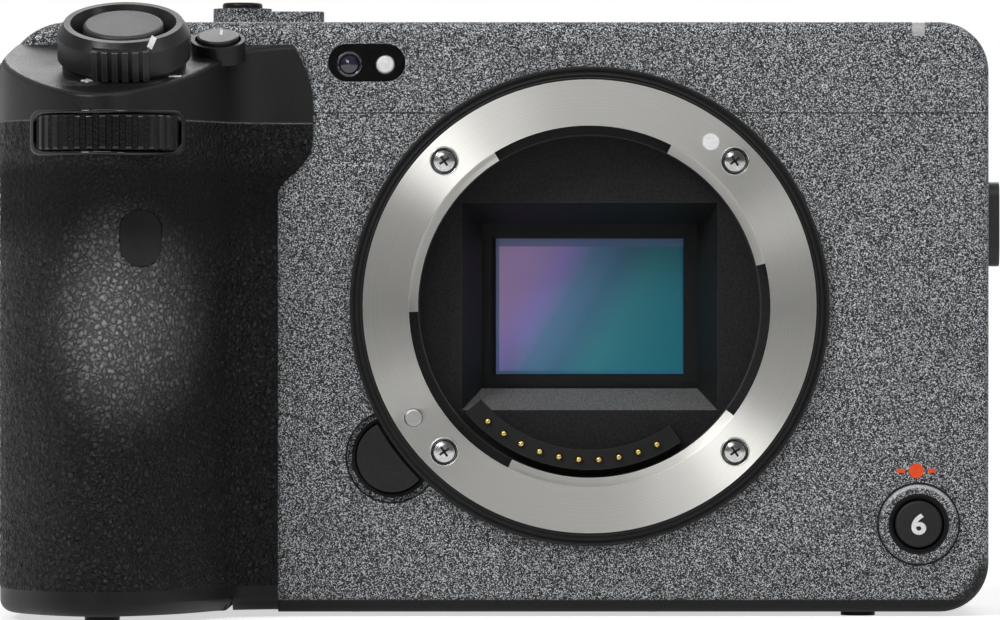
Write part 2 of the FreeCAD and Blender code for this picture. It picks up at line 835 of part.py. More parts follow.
def grip_shell():
    """The grip's frame: outer walls, the battery bay, the card slot, the dial's floor and its post."""
    back = case_back_y - case_wall
    low = leather_bottom_z
    nose = grip_block(leather_thick, leather_back_y, low, leather_top_z)
    tail = grip_block(0, back, low, top_seam_z).common(box((-far, 0), (leather_back_y, far), (-far, far)))
    inset = leather_thick + grip_wall
    hollow = grip_block(inset, back + 1, low + grip_wall, 30, grip_wall)
    shell = nose.fuse(tail).removeSplitter().cut(hollow)
    bay = battery_space(bay_gap + bay_wall)
    bay = bay.common(grip_block(inset - 0.2, back, low, 30, 0.2))
    slot_half = card_size[2] / 2 + card_slot_wall
    slot_y_limits = (card_y - card_slot_wall, card_y + card_size[1] + card_slot_wall)
    slot = box((case_left_x + inset - 0.2, split_x), slot_y_limits, (card_z - slot_half, card_z + slot_half))
    dial_floor = rod_z(front_dial_xy, front_dial_r + 2, front_dial_z[0] - 2.3, front_dial_z[0] - 0.8)
    dial_floor = dial_floor.common(grip_block(inset - 0.2, back, low, 30))
    post = rod_z(front_dial_xy, shaft_r, front_dial_z[0] - 1, front_dial_z[1] - 0.2)
    shell = shell.fuse([bay, slot, dial_floor])
    cuts = [battery_space(bay_gap), card_space(0.1), front_dial_slot(), ir_plug(fit_gap, -40, 0)]
    cuts += [card_door_pocket(), lug_cut("left")]
    return shell.cut(cuts).fuse(post)


def door_axis_x():
    return case_left_x + door_thick / 2


def card_door_pocket():
    """The recess of the card door in the grip's side, with the holes for its hinge stubs."""
    y = (card_door_y[0] - door_thick / 2 - part_gap, card_door_y[1] + door_gap)
    z = (card_door_z()[0] - door_gap, card_door_z()[1] + door_gap)
    pocket = box((case_left_x - 1, case_left_x + door_thick + door_seat), y, z)
    pins = rod_z((door_axis_x(), card_door_y[0]), door_pin_r + fit_gap, z[0] - 1, z[1] + 1)
    return pocket.fuse(pins)


def card_door():
    """The side door over the card slot, with a round hinge edge and two stubs."""
    z = card_door_z()
    axis = (door_axis_x(), card_door_y[0])
    plate = box((case_left_x, case_left_x + door_thick), card_door_y, z)
    knuckle = rod_z(axis, door_thick / 2, z[0], z[1])
    pins = rod_z(axis, door_pin_r, z[0] - door_pin_length, z[1] + door_pin_length)
    scoop = rod(scoop_r, (case_left_x - 1.1, card_door_y[1] - 1.4, card_z - 4), (0, 0, 1), 8)
    return plate.fuse([knuckle, pins]).removeSplitter().cut(scoop)


def battery():
    block = battery_space(0)
    return rounded(block, (0, 0, 1), 2.0)


def memory_card():
    """The card, with the step along its contact end."""
    right = card_left_x() + card_size[0]
    low = card_z - card_size[2] / 2
    notch = box((right - 3, right + 1), (card_y - 1, card_y + 1), (low - 1, low + 3))
    return card_space(0).cut(notch)


def grip_base():
    """The black foot of the grip, with the battery door's opening."""
    back = case_back_y - case_wall
    base = grip_block(0, back, base_bottom_z, leather_bottom_z)
    picked = []
    for edge in base.Edges:
        centre = edge.CenterOfMass
        if abs(centre.z - base_bottom_z) < 0.01 and centre.x < split_x - 0.1 and centre.y < back - 0.1:
            picked.append(edge)
    base = base.makeFillet(base_edge_r, picked)
    pads = [rod_z(place, foot_r, foot_z, base_bottom_z + 1) for place in grip_feet]
    base = base.fuse(pads)
    x = (battery_door_x[0] - door_gap, battery_door_x[1] + door_thick / 2 + part_gap)
    y = (battery_door_y[0] - door_gap, battery_door_y[1] + door_gap)
    opening = box(x, y, (base_bottom_z - 1, door_top_z() + door_seat))
    pins = rod_y((battery_door_x[1], battery_door_axis_z()), door_pin_r + fit_gap, y[0] - 1, y[1] + 1)
    catch = latch_block(door_gap)
    catch.translate(Vector(-latch_travel, 0, 0))
    return base.cut([opening, pins, battery_space(bay_gap), catch])


def battery_door_axis_z():
    return base_bottom_z + door_thick / 2


def battery_door():
    """The bottom door under the battery, with a round hinge edge, stubs and the latch's slot."""
    plate = box(battery_door_x, battery_door_y, (base_bottom_z, door_top_z()))
    axis = (battery_door_x[1], battery_door_axis_z())
    low, high = battery_door_y
    knuckle = rod_y(axis, door_thick / 2, low, high)
    pins = rod_y(axis, door_pin_r, low - door_pin_length, high + door_pin_length)
    slot = latch_block(0.1).fuse(latch_finger(0.1))
    left = slot.copy()
    left.translate(Vector(-latch_travel, 0, 0))
    return plate.fuse([knuckle, pins]).removeSplitter().cut([slot, left])


def latch_block(grow):
    """The latch's flat tongue inside the door."""
    low_x = battery_door_x[0] + 0.2
    mid = (battery_door_y[0] + battery_door_y[1]) / 2
    wide = latch_half_width + grow
    thick = latch_half_thick + grow
    z = battery_door_axis_z()
    return box((low_x - grow, low_x + latch_length + grow), (mid - wide, mid + wide), (z - thick, z + thick))


def latch_finger(grow):
    """The latch's ribbed tab that a finger pushes."""
    x = (battery_door_x[0] + 3.0, battery_door_x[0] + 6)
    mid = (battery_door_y[0] + battery_door_y[1]) / 2
    wide = 0.8 * latch_half_width + grow
    low = base_bottom_z - 2 * (grow > 0)
    return box((x[0] - grow, x[1] + grow), (mid - wide, mid + wide), (low, battery_door_axis_z()))


def battery_latch():
    return latch_block(0).fuse(latch_finger(0)).removeSplitter()


def grip_top_cover():
    """The dark nose cover with its sloping deck, the zoom lever's post and the custom button's collar."""
    back = case_front_y
    low = leather_top_z
    nose = grip_prism(0, back + 1, low, case_top_z + 4).common(box((-far, far), (-far, back), (-far, far)))
    nose = nose.cut([above_deck(0, 60), head_edge(-40, 40)])
    picked = []
    for edge in nose.Edges:
        on_slope = abs(edge.CenterOfMass.z - deck_z(edge.CenterOfMass.y)) < 0.35
        if on_slope and edge.BoundBox.YMin < grip_nose[1] + 1:
            picked.append(edge)
    nose = nose.makeFillet(deck_rim_r, picked).common(shoulder(0, -60, 60))
    bosses = [on_controls(rod_z((0, 0), zoom_boss_r, -8, 0), zoom_xy)]
    bosses.append(on_controls(rod_z((0, 0), custom_collar_r, -6, custom_collar_z), custom_xy))
    above = above_deck(case_wall / 2, 60).common(box((-far, far), (-60, back), (-far, far)))
    nose = nose.fuse([boss.common(above) for boss in bosses])
    inner = grip_prism(case_wall, back - case_wall, low - 1, case_top_z + 4)
    inner = inner.common(box((-far, split_x - case_wall), (-far, far), (-far, far)))
    inner = inner.cut(above_deck(case_wall, 60))
    nose = nose.cut(inner)
    post = on_controls(rod_z((0, 0), zoom_post_r, -4.5, 2.0), zoom_xy)
    nose = nose.fuse(post)
    cuts = [on_controls(rod_z((0, 0), 1.5 + fit_gap, -9, 9), zoom_xy), front_dial_slot()]
    pocket = button_pocket((0, 0, custom_collar_z), (0, 0, 1), custom_r, button_travel, shaft_r, 6)
    cuts.append(on_controls(pocket, custom_xy))
    return nose.cut(cuts)


def zoom_lever():
    """The ring round the shutter button, with a ribbed tab at its front."""
    top = part_gap + zoom_height
    skirt = rod_z((0, 0), zoom_r, part_gap, top - zoom_bevel[1])
    slope = Part.makeCone(zoom_r, zoom_r - zoom_bevel[0], zoom_bevel[1], Vector(0, 0, top - zoom_bevel[1]))
    tab = rod_z((0, 0), zoom_r + zoom_tab[1], part_gap, top - zoom_bevel[1] / 2)
    tab = tab.common(box((-zoom_tab[0], zoom_tab[0]), (-far, 0), (0, far)))
    lever = skirt.fuse([slope, tab]).removeSplitter()
    floor = part_gap + zoom_cup_z
    mouth = Part.makeCone(zoom_bore_r, zoom_mouth_r, top - floor, Vector(0, 0, floor))
    cuts = [rod_z((0, 0), zoom_post_r + fit_gap, -1, 9), mouth]
    for index in range(-2, 3):
        x = index * zoom_rib[1]
        cuts.append(box((x - zoom_rib[0] / 2, x + zoom_rib[0] / 2), (-far, -zoom_r - 0.3), (-1, 9)))
    return on_controls(lever.cut(cuts), zoom_xy)


def shutter_button():
    """The round two-step release button in the middle of the zoom lever."""
    floor = part_gap + zoom_cup_z + shutter_travel + 0.2
    top = part_gap + zoom_height - 0.15
    cap = rod_z((0, 0), shutter_r, floor, top)
    rim = [edge for edge in cap.Edges if edge.Closed and edge.CenterOfMass.z > top - 0.1]
    cap = cap.makeFillet(0.45, rim)
    stem = rod_z((0, 0), 1.5, -5.5, floor)
    return on_controls(cap.fuse(stem).removeSplitter(), zoom_xy)


def custom_button():
    place = (0, 0, custom_collar_z)
    return on_controls(button(place, (0, 0, 1), custom_r, 0.5, button_travel, shaft_r, 3.5), custom_xy)


def knurled_disc(radius, height, bore, teeth, depth):
    """A wheel with shallow grooves round its rim, upright at the origin."""
    disc = rod_z((0, 0), radius, 0, height)
    rims = [edge for edge in disc.Edges if edge.Closed]
    disc = disc.makeFillet(0.4, rims)
    cuts = [rod_z((0, 0), bore, -1, height + 1)]
    for index in range(teeth):
        x, y = polar(radius + 0.15, 360 * index / teeth)
        cuts.append(rod_z((x, y), depth, -1, height + 1))
    return disc.cut(cuts)


def front_dial():
    dial = knurled_disc(front_dial_r, front_dial_z[1] - front_dial_z[0], shaft_r + fit_gap, 34, 0.5)
    dial.translate(Vector(front_dial_xy[0], front_dial_xy[1], front_dial_z[0]))
    return dial


def rear_dial():
    dial = knurled_disc(rear_dial_r, rear_dial_z[1] - rear_dial_z[0], shaft_r + fit_gap, 36, 0.5)
    dial.translate(Vector(rear_dial_xy[0], rear_dial_xy[1], rear_dial_z[0]))
    return dial


def control_wheel():
    wheel = knurled_disc(wheel_r, 2.2, wheel_hub_r + fit_gap, 40, 0.4)
    wheel.rotate(Vector(0, 0, 0), Vector(1, 0, 0), -90)
    wheel.translate(Vector(wheel_xz[0], case_back_y - 0.9, wheel_xz[1]))
    return wheel


def mount_surround_ring():
    """The black ring round the mount, with three fine turned ridges."""
    ring = ring_y((0, 0), surround_r, flange_r + fit_gap, surround_front_y, plate_front_y)
    grooves = []
    for index in range(2):
        middle = flange_r + 0.55 + index * 0.6
        grooves.append(ring_y((0, 0), middle + 0.14, middle - 0.14, 0, surround_front_y + 0.35))
    return ring.cut(grooves)


def mount_screw_places():
    return [polar(screw_pitch_r, 45 + 90 * index) for index in range(4)]


def mount_flange_ring():
    """The bayonet ring: a turned flange, a plain throat, and three tabs in a wider channel behind it."""
    lip = ring_y((0, 0), flange_r, throat_r, 0, tab_front_y)
    ring = lip.fuse(ring_y((0, 0), flange_r, channel_r, tab_front_y, plate_front_y))
    tabs = []
    for angles in tab_angles:
        tabs.append(sector(tab_inner_r, channel_r + 0.3, angles, tab_front_y, tab_front_y + tab_thick))
    ring = ring.fuse(tabs).removeSplitter()
    cuts = []
    for place in mount_screw_places():
        cuts.append(rod_y(place, screw_head_r + fit_gap, -1, 1.2))
        cuts.append(rod_y(place, screw_shank_r + fit_gap, -1, far))
    cuts.append(rod_y(index_dot_xz, index_dot_r, -1, 0.6))
    cuts.append(rod_y(lock_pin_xz, lock_pin_r + fit_gap, -1, far))
    return ring.cut(cuts)


def mount_screws():
    screws = []
    for place in mount_screw_places():
        head = rod_y(place, screw_head_r, 0.15, 1.2)
        shank = rod_y(place, screw_shank_r, 1.2, plate_front_y + plate_thick - 0.6)
        bars = []
        for size in ((0.95, 0.17), (0.17, 0.95)):
            x = (place[0] - size[0], place[0] + size[0])
            z = (place[1] - size[1], place[1] + size[1])
            bar = box(x, (-1, 0.65), z)
            bar.rotate(Vector(place[0], 0, place[1]), Vector(0, 1, 0), 30)
            bars.append(bar)
        screws.append(head.fuse(shank).cut(bars))
    return Part.makeCompound(screws)


def mount_index_dot():
    return rod_y(index_dot_xz, index_dot_r, 0.05, 0.6)


def light_box():
    """The black frame behind the mount, with a tapered tunnel to the sensor."""
    back = plate_front_y + plate_thick
    plate = box((-plate_half_x, plate_half_x), (plate_front_y, back), (-plate_half_z, plate_half_z))
    plate = rounded(plate, (0, 1, 0), 6)
    tunnel = box((-tunnel_half_x, tunnel_half_x), (back, box_back_y), (-tunnel_half_z, tunnel_half_z))
    frame = plate.fuse(tunnel).removeSplitter()
    mouth = rectangle(box_mouth, throat_floor_y())
    light_exit = rectangle(box_exit, box_back_y)
    taper = Part.makeLoft([mouth, light_exit], True, True)
    cuts = [rod_y((0, 0), tab_inner_r, -1, throat_floor_y()), taper]
    cuts.append(rod_y(lock_pin_xz, lock_pin_r + fit_gap, 0, back + 1))
    cuts.append(rod_y(release_stem_xz(), shaft_r + part_gap, 0, 20))
    for place in mount_screw_places():
        cuts.append(rod_y(place, screw_shank_r + fit_gap, 0, 20))
    return frame.cut(cuts)


def rectangle(half, y):
    corners = [(-half[0], -half[1]), (half[0], -half[1]), (half[0], half[1]), (-half[0], half[1])]
    points = [Vector(x, y, z) for x, z in corners]
    return Part.makePolygon(points + [points[0]])


def contact_angles():
    last = contact_first_deg + contact_step_deg * (contact_count - 1)
    return contact_first_deg, last


def contact_block():
    """The crescent that carries the contact pins at the foot of the throat."""
    first, last = contact_angles()
    floor = throat_floor_y()
    angles = (first - contact_end_deg, last + contact_end_deg)
    inner = contact_r - contact_half_width
    outer = contact_r + contact_half_width
    block = sector(inner, outer, angles, contact_front_y, floor)
    cuts = []
    for index in range(contact_count):
        place = polar(contact_r, first + contact_step_deg * index)
        cuts.append(rod_y(place, contact_pin_r + fit_gap, 0, floor + 2))
    return block.cut(cuts)


def throat_floor_y():
    return plate_front_y + plate_thick - throat_floor


def contact_pins():
    """Ten sprung pins in the block's bores."""
    first = contact_angles()[0]
    pins = []
    for index in range(contact_count):
        place = polar(contact_r, first + contact_step_deg * index)
        pins.append(rod_y(place, contact_pin_r, contact_front_y - contact_pin_proud, throat_floor_y() - 0.8))
    return Part.makeCompound(pins)


def sensor_carrier():
    """The plate that holds the sensor and moves with it."""
    x, z = carrier_half
    plate = box((-x, x), (carrier_front_y, carrier_front_y + carrier_thick), (-z, z))
    window = (die_size[0] / 2 + slide_gap, die_size[1] / 2 + slide_gap)
    return plate.cut(box((-window[0], window[0]), (0, far), (-window[1], window[1])))


def image_sensor():
    """The sensor: its light-sensitive face in the carrier's window, and the wider package behind it."""
    x, z = die_size[0] / 2, die_size[1] / 2
    seat = carrier_front_y + carrier_thick
    die = box((-x, x), (sensor_y, seat), (-z, z))
    x += package_rim
    z += package_rim
    package = box((-x, x), (seat, sensor_stack_y), (-z, z))
    return die.fuse(package).removeSplitter()


def sensor_glass():
    x, z = glass_size[0] / 2, glass_size[1] / 2
    glass = box((-x, x), (carrier_front_y - glass_thick, carrier_front_y), (-z, z))
    return rounded(glass, (0, 1, 0), 0.8)


def sensor_board():
    """The small board behind the sensor, with its plug."""
    x, z = carrier_half
    back = sensor_stack_y + sensor_board_thick
    board = box((-x + 1, x - 1), (sensor_stack_y, back), (-z + 1, z - 1))
    plug = box((-8, 8), (back, back + sensor_board_thick), (-z + 2, -z + 6))
    return board.fuse(plug).removeSplitter()


def stage_half():
    x, z = carrier_half
    return x + slide_gap + stage_rim, z + shift_travel + 2 * slide_gap + stage_rim


def shift_stage():
    """The frame that slides sideways and lets the sensor slide up and down inside it."""
    x, z = stage_half()
    frame = box((-x, x), (carrier_front_y, carrier_front_y + stage_thick), (-z, z))
    opening = box((-x + stage_rim, x - stage_rim), (0, far), (-z + stage_rim, z - stage_rim))
    return frame.cut(opening)


def shift_base():
    """The fixed frame of the stabiliser, between the light box and the heat sink."""
    x, z = stage_half()
    inner_x = x + shift_travel + 2 * slide_gap
    inner_z = z + slide_gap
    outer_x = inner_x + base_rim
    outer_z = inner_z + base_rim
    frame = box((-outer_x, outer_x), (box_back_y, base_back_y), (-outer_z, outer_z))
    frame = rounded(frame, (0, 1, 0), 3)
    hollow = box((-inner_x, inner_x), (box_back_y + 1, base_back_y + 1), (-inner_z, inner_z))
    window_x = box_exit[0] + 2
    window_z = box_exit[1] + 2
    window = box((-window_x, window_x), (0, far), (-window_z, window_z))
    return frame.cut([hollow, window])


def heat_sink():
    """A finned plate behind the sensor with the fan's well in its middle."""
    x, z = sink_half
    plate = box((-x, x), (base_back_y, base_back_y + sink_plate), (-z, z))
    fins = []
    top = base_back_y + sink_plate + sink_depth
    count = int(2 * x / fin_pitch)
    step = (2 * x - fin_thick) / count
    for index in range(count + 1):
        left = -x + index * step
        fins.append(box((left, left + fin_thick), (base_back_y + sink_plate - 0.1, top), (-z, z)))
    well = rod_y((0, 0), fan_r + 1.2, base_back_y + sink_plate, top + 1)
    sink = plate.fuse([Part.makeCompound(fins).cut(well)])
    shaft = rod_y((0, 0), fan_shaft_r, base_back_y + sink_plate - 0.1, fan_front_y() + fan_thick)
    return sink.fuse(shaft)


def fan_front_y():
    return base_back_y + sink_plate + 0.8


def cooling_fan():
    """The fan: a bored hub with swept blades."""
    y0 = fan_front_y()
    hub = ring_y((0, 0), fan_hub_r, fan_shaft_r + fit_gap, y0, y0 + fan_thick)
    blades = []
    for index in range(fan_blades):
        reach = fan_thick / 2 + 0.6
        blade = box((fan_hub_r - 0.8, fan_r), (-blade_thick / 2, blade_thick / 2), (-reach, reach))
        blade.rotate(Vector(0, 0, 0), Vector(1, 0, 0), blade_angle)
        blade.rotate(Vector(0, 0, 0), Vector(0, 0, 1), 360 * index / fan_blades)
        blades.append(blade)
    fan = Part.makeCompound(blades)
    fan.rotate(Vector(0, 0, 0), Vector(1, 0, 0), -90)
    fan.translate(Vector(0, y0 + fan_thick / 2, 0))
    limit = ring_y((0, 0), fan_r, fan_hub_r - 1.2, y0, y0 + fan_thick)
    return hub.fuse(fan.common(limit))


def main_board():
    """The board that carries the sockets, with its larger chips on the front."""
    board = box(board_x, (board_y, board_y + board_thick), board_z)
    blocks = []
    for x, z, wide, high in chips:
        blocks.append(box((x, x + wide), (board_y - chip_thick, board_y), (z - high / 2, z + high / 2)))
    return board.fuse(blocks).removeSplitter()


def socket_y():
    return board_y + board_thick


def sockets():
    """The sockets on the board's edge behind the port doors."""
    inner_x = case_right_x - panel_thick
    back_x = inner_x - socket_length
    middle = socket_y() + socket_middle
    shells = []
    for z, high, wide, is_round in socket_list:
        half = high / 2 + socket_wall
        body = box((back_x, inner_x), (socket_y(), middle + wide / 2 + socket_wall), (z - half, z + half))
        shells.append(body.cut(socket_mouth(z, high, wide, is_round, back_x + socket_floor, 0)))
    return Part.makeCompound(shells)


def socket_mouth(z, high, wide, is_round, start_x, grow):
    """The opening of one socket along X, from a given depth outwards."""
    middle = socket_y() + socket_middle
    if is_round:
        return rod(wide / 2 + grow, (start_x, middle, z), (1, 0, 0), far)
    y = (middle - wide / 2 - grow, middle + wide / 2 + grow)
    return box((start_x, far), y, (z - high / 2 - grow, z + high / 2 + grow))


def port_door_axis():
    return case_right_x - door_thick / 2, port_door_y[0]


def port_door(index):
    """A rubber-faced door with a round hinge edge and two stubs."""
    z = port_doors_z[index]
    axis = port_door_axis()
    plate = box((case_right_x - door_thick, case_right_x), port_door_y, z)
    knuckle = rod_z(axis, door_thick / 2, z[0], z[1])
    pins = rod_z(axis, door_pin_r, z[0] - door_pin_length, z[1] + door_pin_length)
    scoop = rod(scoop_r, (case_right_x + 1.1, port_door_y[1] - 1.2, (z[0] + z[1]) / 2 - 3), (0, 0, 1), 6)
    return plate.fuse([knuckle, pins]).removeSplitter().cut(scoop)


def port_panel():
    """The right side panel with the air outlet, the door recesses and the windows for the sockets."""
    x = (case_right_x - panel_thick, case_right_x)
    panel = rounded(box(x, panel_y, panel_z), (1, 0, 0), 1.5)
    cuts = [lug_cut("right")]
    for index in range(2):
        z = (port_doors_z[index][0] - door_gap, port_doors_z[index][1] + door_gap)
        y = (port_door_y[0] - door_thick / 2 - part_gap, port_door_y[1] + door_gap)
        cuts.append(box((case_right_x - door_thick - door_seat, far), y, z))
        cuts.append(rod_z(port_door_axis(), door_pin_r + fit_gap, z[0] - 1, z[1] + 1))
    for z, high, wide, is_round in socket_list:
        cuts.append(socket_mouth(z, high, wide, is_round, x[0] - 1, 0.2))
    rows = int((vent_z[1] - vent_z[0]) / vent_pitch)
    for row in range(rows + 1):
        z = vent_z[0] + row * vent_pitch
        cuts.append(box((x[0] - 1, far), vent_y, (z - vent_slot / 2, z + vent_slot / 2)))
    return panel.cut(cuts)


def shoe_rails():
    """The steel channel of the accessory shoe."""
    half = shoe_foot_w / 2
    y = shoe_y
    floor = box((-half - shoe_wall, half + shoe_wall), y, (shoe_floor_z, shoe_floor_z + shoe_plate))
    rails = []
    low = shoe_floor_z + shoe_plate
    lip = low + shoe_foot_h
    top = case_top_z - 0.1
    for side in (-1, 1):
        wall = box(sorted([side * half, side * (half + shoe_wall)]), y, (low, top))
        cap = box(sorted([side * shoe_throat_w / 2, side * (half + shoe_wall)]), y, (lip, top))
        rails += [wall, cap]
    stop = box((-3, 3), (y[0], y[0] + 1.5), (low, lip))
    return floor.fuse(rails + [stop]).removeSplitter()


def tally_lamp():
    return tally_space().common(casing_shell())


def sensor_window():
    """The dark pill window, with the small lens that shows in it."""
    size = (window_size[0] - 2 * fit_gap, window_size[1] - 2 * fit_gap)
    glass = slot_y(window_xz, size, case_front_y + 0.15, case_front_y + 1.5)
    eye = rod_y(lens_eye_xz, lens_eye_r, case_front_y + 0.15, plate_front_y)
    glass = glass.cut([rod_y(lens_eye_xz, lens_eye_r, 0, 9), rod_y(assist_xz, assist_r + fit_gap, 0, 9)])
    return Part.makeCompound([glass, eye])


def assist_lamp():
    lamp = rod_y(assist_xz, assist_r, case_front_y + 0.25, plate_front_y)
    rim = [edge for edge in lamp.Edges if edge.Closed and edge.CenterOfMass.y < case_front_y + 1]
    return lamp.makeFillet(0.5, rim)


def record_collar():
    """The raised collar round the record button, let into the front cover."""
    bore_r = record_r + part_gap
    body_r = record_cup_r - fit_gap
    floor_y = case_front_y + record_cup_depth
    flange = ring_y(record_xz, record_collar_r, bore_r, case_front_y - record_collar_proud, case_front_y)
    rim = [edge for edge in flange.Edges if edge.Closed and edge.CenterOfMass.y < case_front_y - 0.5
           and edge.BoundBox.XLength > 2 * record_recess_r]
    flange = flange.makeFillet(0.5, rim)
    cup = ring_y(record_xz, body_r, bore_r, case_front_y, floor_y)
    floor = ring_y(record_xz, body_r, shaft_r + fit_gap, floor_y, floor_y + 1)
    mouth = rod_y(record_xz, record_recess_r, -far, case_front_y - 0.3)
    return flange.fuse([cup, floor]).removeSplitter().cut(mouth)


def record_button():
    """The record button's flat cap and its stem."""
    cap = rod_y(record_xz, record_r, case_front_y - record_proud, case_front_y + record_cup_depth - 0.8)
    rim = [edge for edge in cap.Edges if edge.Closed and edge.CenterOfMass.y < case_front_y]
    cap = cap.makeFillet(0.3, rim)
    stem = rod_y(record_xz, shaft_r, case_front_y + 0.5, case_front_y + record_cup_depth + 2.4)
    return cap.fuse(stem).removeSplitter()


def lens_release_button():
    """The release button, a round cap cut away beside the mount ring, on a stem."""
    cap = rod_y(release_xz, release_r, case_front_y - release_proud, case_front_y + 0.4)
    cap = cap.cut(rod_y((0, 0), surround_r + part_gap + 0.1, -far, far))
    stem = rod_y(release_stem_xz(), shaft_r, case_front_y, lock_arm_y() - 0.1)
    return cap.fuse(stem).removeSplitter()


def lock_arm_y():
    return plate_front_y + plate_thick + 1.2


def lock_pin():
    """The pin that locks a lens, with the arm that the release button pushes."""
    arm_y = lock_arm_y()
    pin = rod_y(lock_pin_xz, lock_pin_r, lock_pin_front_y, arm_y + lock_arm_thick / 2)
    rim = [edge for edge in pin.Edges if edge.Closed and edge.CenterOfMass.y < 0]
    pin = pin.makeFillet(0.35, rim)
    stem = release_stem_xz()
    start = Vector(lock_pin_xz[0], arm_y, lock_pin_xz[1])
    along = Vector(stem[0], arm_y, stem[1]) - start
    bar = Part.makeBox(along.Length, lock_arm_thick, lock_arm_width)
    bar.translate(Vector(0, 0, -lock_arm_width / 2))
    bar.transformShape(Placement(start, Rotation(Vector(1, 0, 0), along)).toMatrix(), True)
    pad = rod_y(stem, lock_arm_width / 2, arm_y, arm_y + lock_arm_thick)
    return pin.fuse([bar, pad]).removeSplitter()


def power_lever():
    """The power lever: a ring with a tab that runs to the right."""
    low = case_top_z + part_gap
    ring = rod_z(power_xy, power_r, low, power_top_z)
    tab_y = (power_xy[1] - power_tab_half, power_xy[1] + power_tab_half)
    tab = box((power_xy[0], power_tab_x), tab_y, (low, power_top_z - power_tab_drop))
    ends = [edge for edge in tab.Edges if abs(edge.CenterOfMass.x - power_tab_x) < 0.01]
    tab = tab.makeFillet(0.8, [edge for edge in ends if abs(edge.tangentAt(0).z) > 0.9])
    sleeve = rod_z(power_xy, power_stem_r, case_top_z - 4.0, low)
    bore = rod_z(power_xy, shaft_r + fit_gap, 0, 60)
    cup = rod_z(power_xy, power_button_r + part_gap, power_top_z - 1.2, 60)
    return ring.fuse([tab, sleeve]).removeSplitter().cut([bore, cup])


def power_button():
    under = power_top_z - 1.2 + button_travel + 0.2
    cap = rod_z(power_xy, power_button_r, under, power_top_z + 0.8)
    rim = [edge for edge in cap.Edges if edge.Closed and edge.CenterOfMass.z > power_top_z]
    cap = cap.makeFillet(0.4, rim)
    stem = rod_z(power_xy, shaft_r, case_top_z + button_travel + 0.15, under)
    return cap.fuse(stem).removeSplitter()


def joystick():
    """The small stick: a domed cap, a stem and a cross pin."""
    tip = case_back_y + 3.4
    cap = rod_y(stick_xz, stick_r, tip - 1.8, tip)
    rims = [edge for edge in cap.Edges if edge.Closed]
    cap = cap.makeFillet(0.6, rims)
    stem = rod_y(stick_xz, 1.4, stick_pivot_y(), tip - 1.5)
    pin = rod(0.7, (stick_xz[0] - 3.4, stick_pivot_y(), stick_xz[1]), (1, 0, 0), 6.8)
    return cap.fuse([stem, pin]).removeSplitter()


def rear_button(name):
    x, z = rear_buttons[name]
    return button((x, case_back_y, z), (0, 1, 0), rear_button_r, 0.7, button_travel, shaft_r, 2.5)


def select_button():
    centre = (wheel_xz[0], case_back_y + 0.9, wheel_xz[1])
    return button(centre, (0, 1, 0), select_r, 0.6, button_travel, shaft_r, 2.4)


def screen_arm():
    """The hinged arm between the rear cover and the screen, with its pin and the tilt shaft."""
    middle = hinge_y()
    barrel = rod_z((hinge_x, middle), hinge_r, arm_z[0], arm_z[1])
    x = (screen_x[1] - arm_width + part_gap, hinge_x)
    block = box(x, (middle - arm_thick / 2, middle + arm_thick / 2), arm_z)
    pin = rod_z((hinge_x, middle), shaft_r, arm_z[0] - 3.4, arm_z[1] + 3.4)
    shaft = rod(shaft_r, (x[0] - 6, middle, tilt_z), (1, 0, 0), 7)
    # The block stops at a flat face, so that the barrel alone turns between the ears.
    block = block.common(box((-far, hinge_x), (-far, far), (-far, far)))
    return block.fuse([barrel, pin, shaft]).removeSplitter()


def screen_shell():
    """The screen's housing, with the notch for the arm and the display's seat."""
    y = (screen_front_y, screen_back_y)
    shell = rounded(box(screen_x, y, screen_z), (0, 1, 0), 3.0)
    picked = []
    for edge in shell.Edges:
        centre = edge.CenterOfMass
        if min(abs(centre.y - y[0]), abs(centre.y - y[1])) < 0.01:
            picked.append(edge)
    shell = shell.makeFillet(0.8, picked)
    notch = box((screen_x[1] - arm_width, far), (0, far), (arm_z[0] - 0.6, arm_z[1] + 0.6))
    bore = rod(shaft_r + fit_gap, (screen_x[1] - arm_width - 6.2, hinge_y(), tilt_z), (1, 0, 0), 9)
    return shell.cut([notch, bore, display_space(0.1)])


def display_space(grow):
    x = (screen_x[0] + 2.2 - grow, screen_x[1] - arm_width - 1.2 + grow)
    z = (screen_z[0] + 2.2 - grow, screen_z[1] - 2.2 + grow)
    return rounded(box(x, (screen_back_y - 1.2, screen_back_y + 5 * (grow > 0)), z), (0, 1, 0), 1.0 + grow)


def screen_glass():
    return display_space(0)


def strap_lugs():
    return Part.makeCompound([lug("left"), lug("right")])


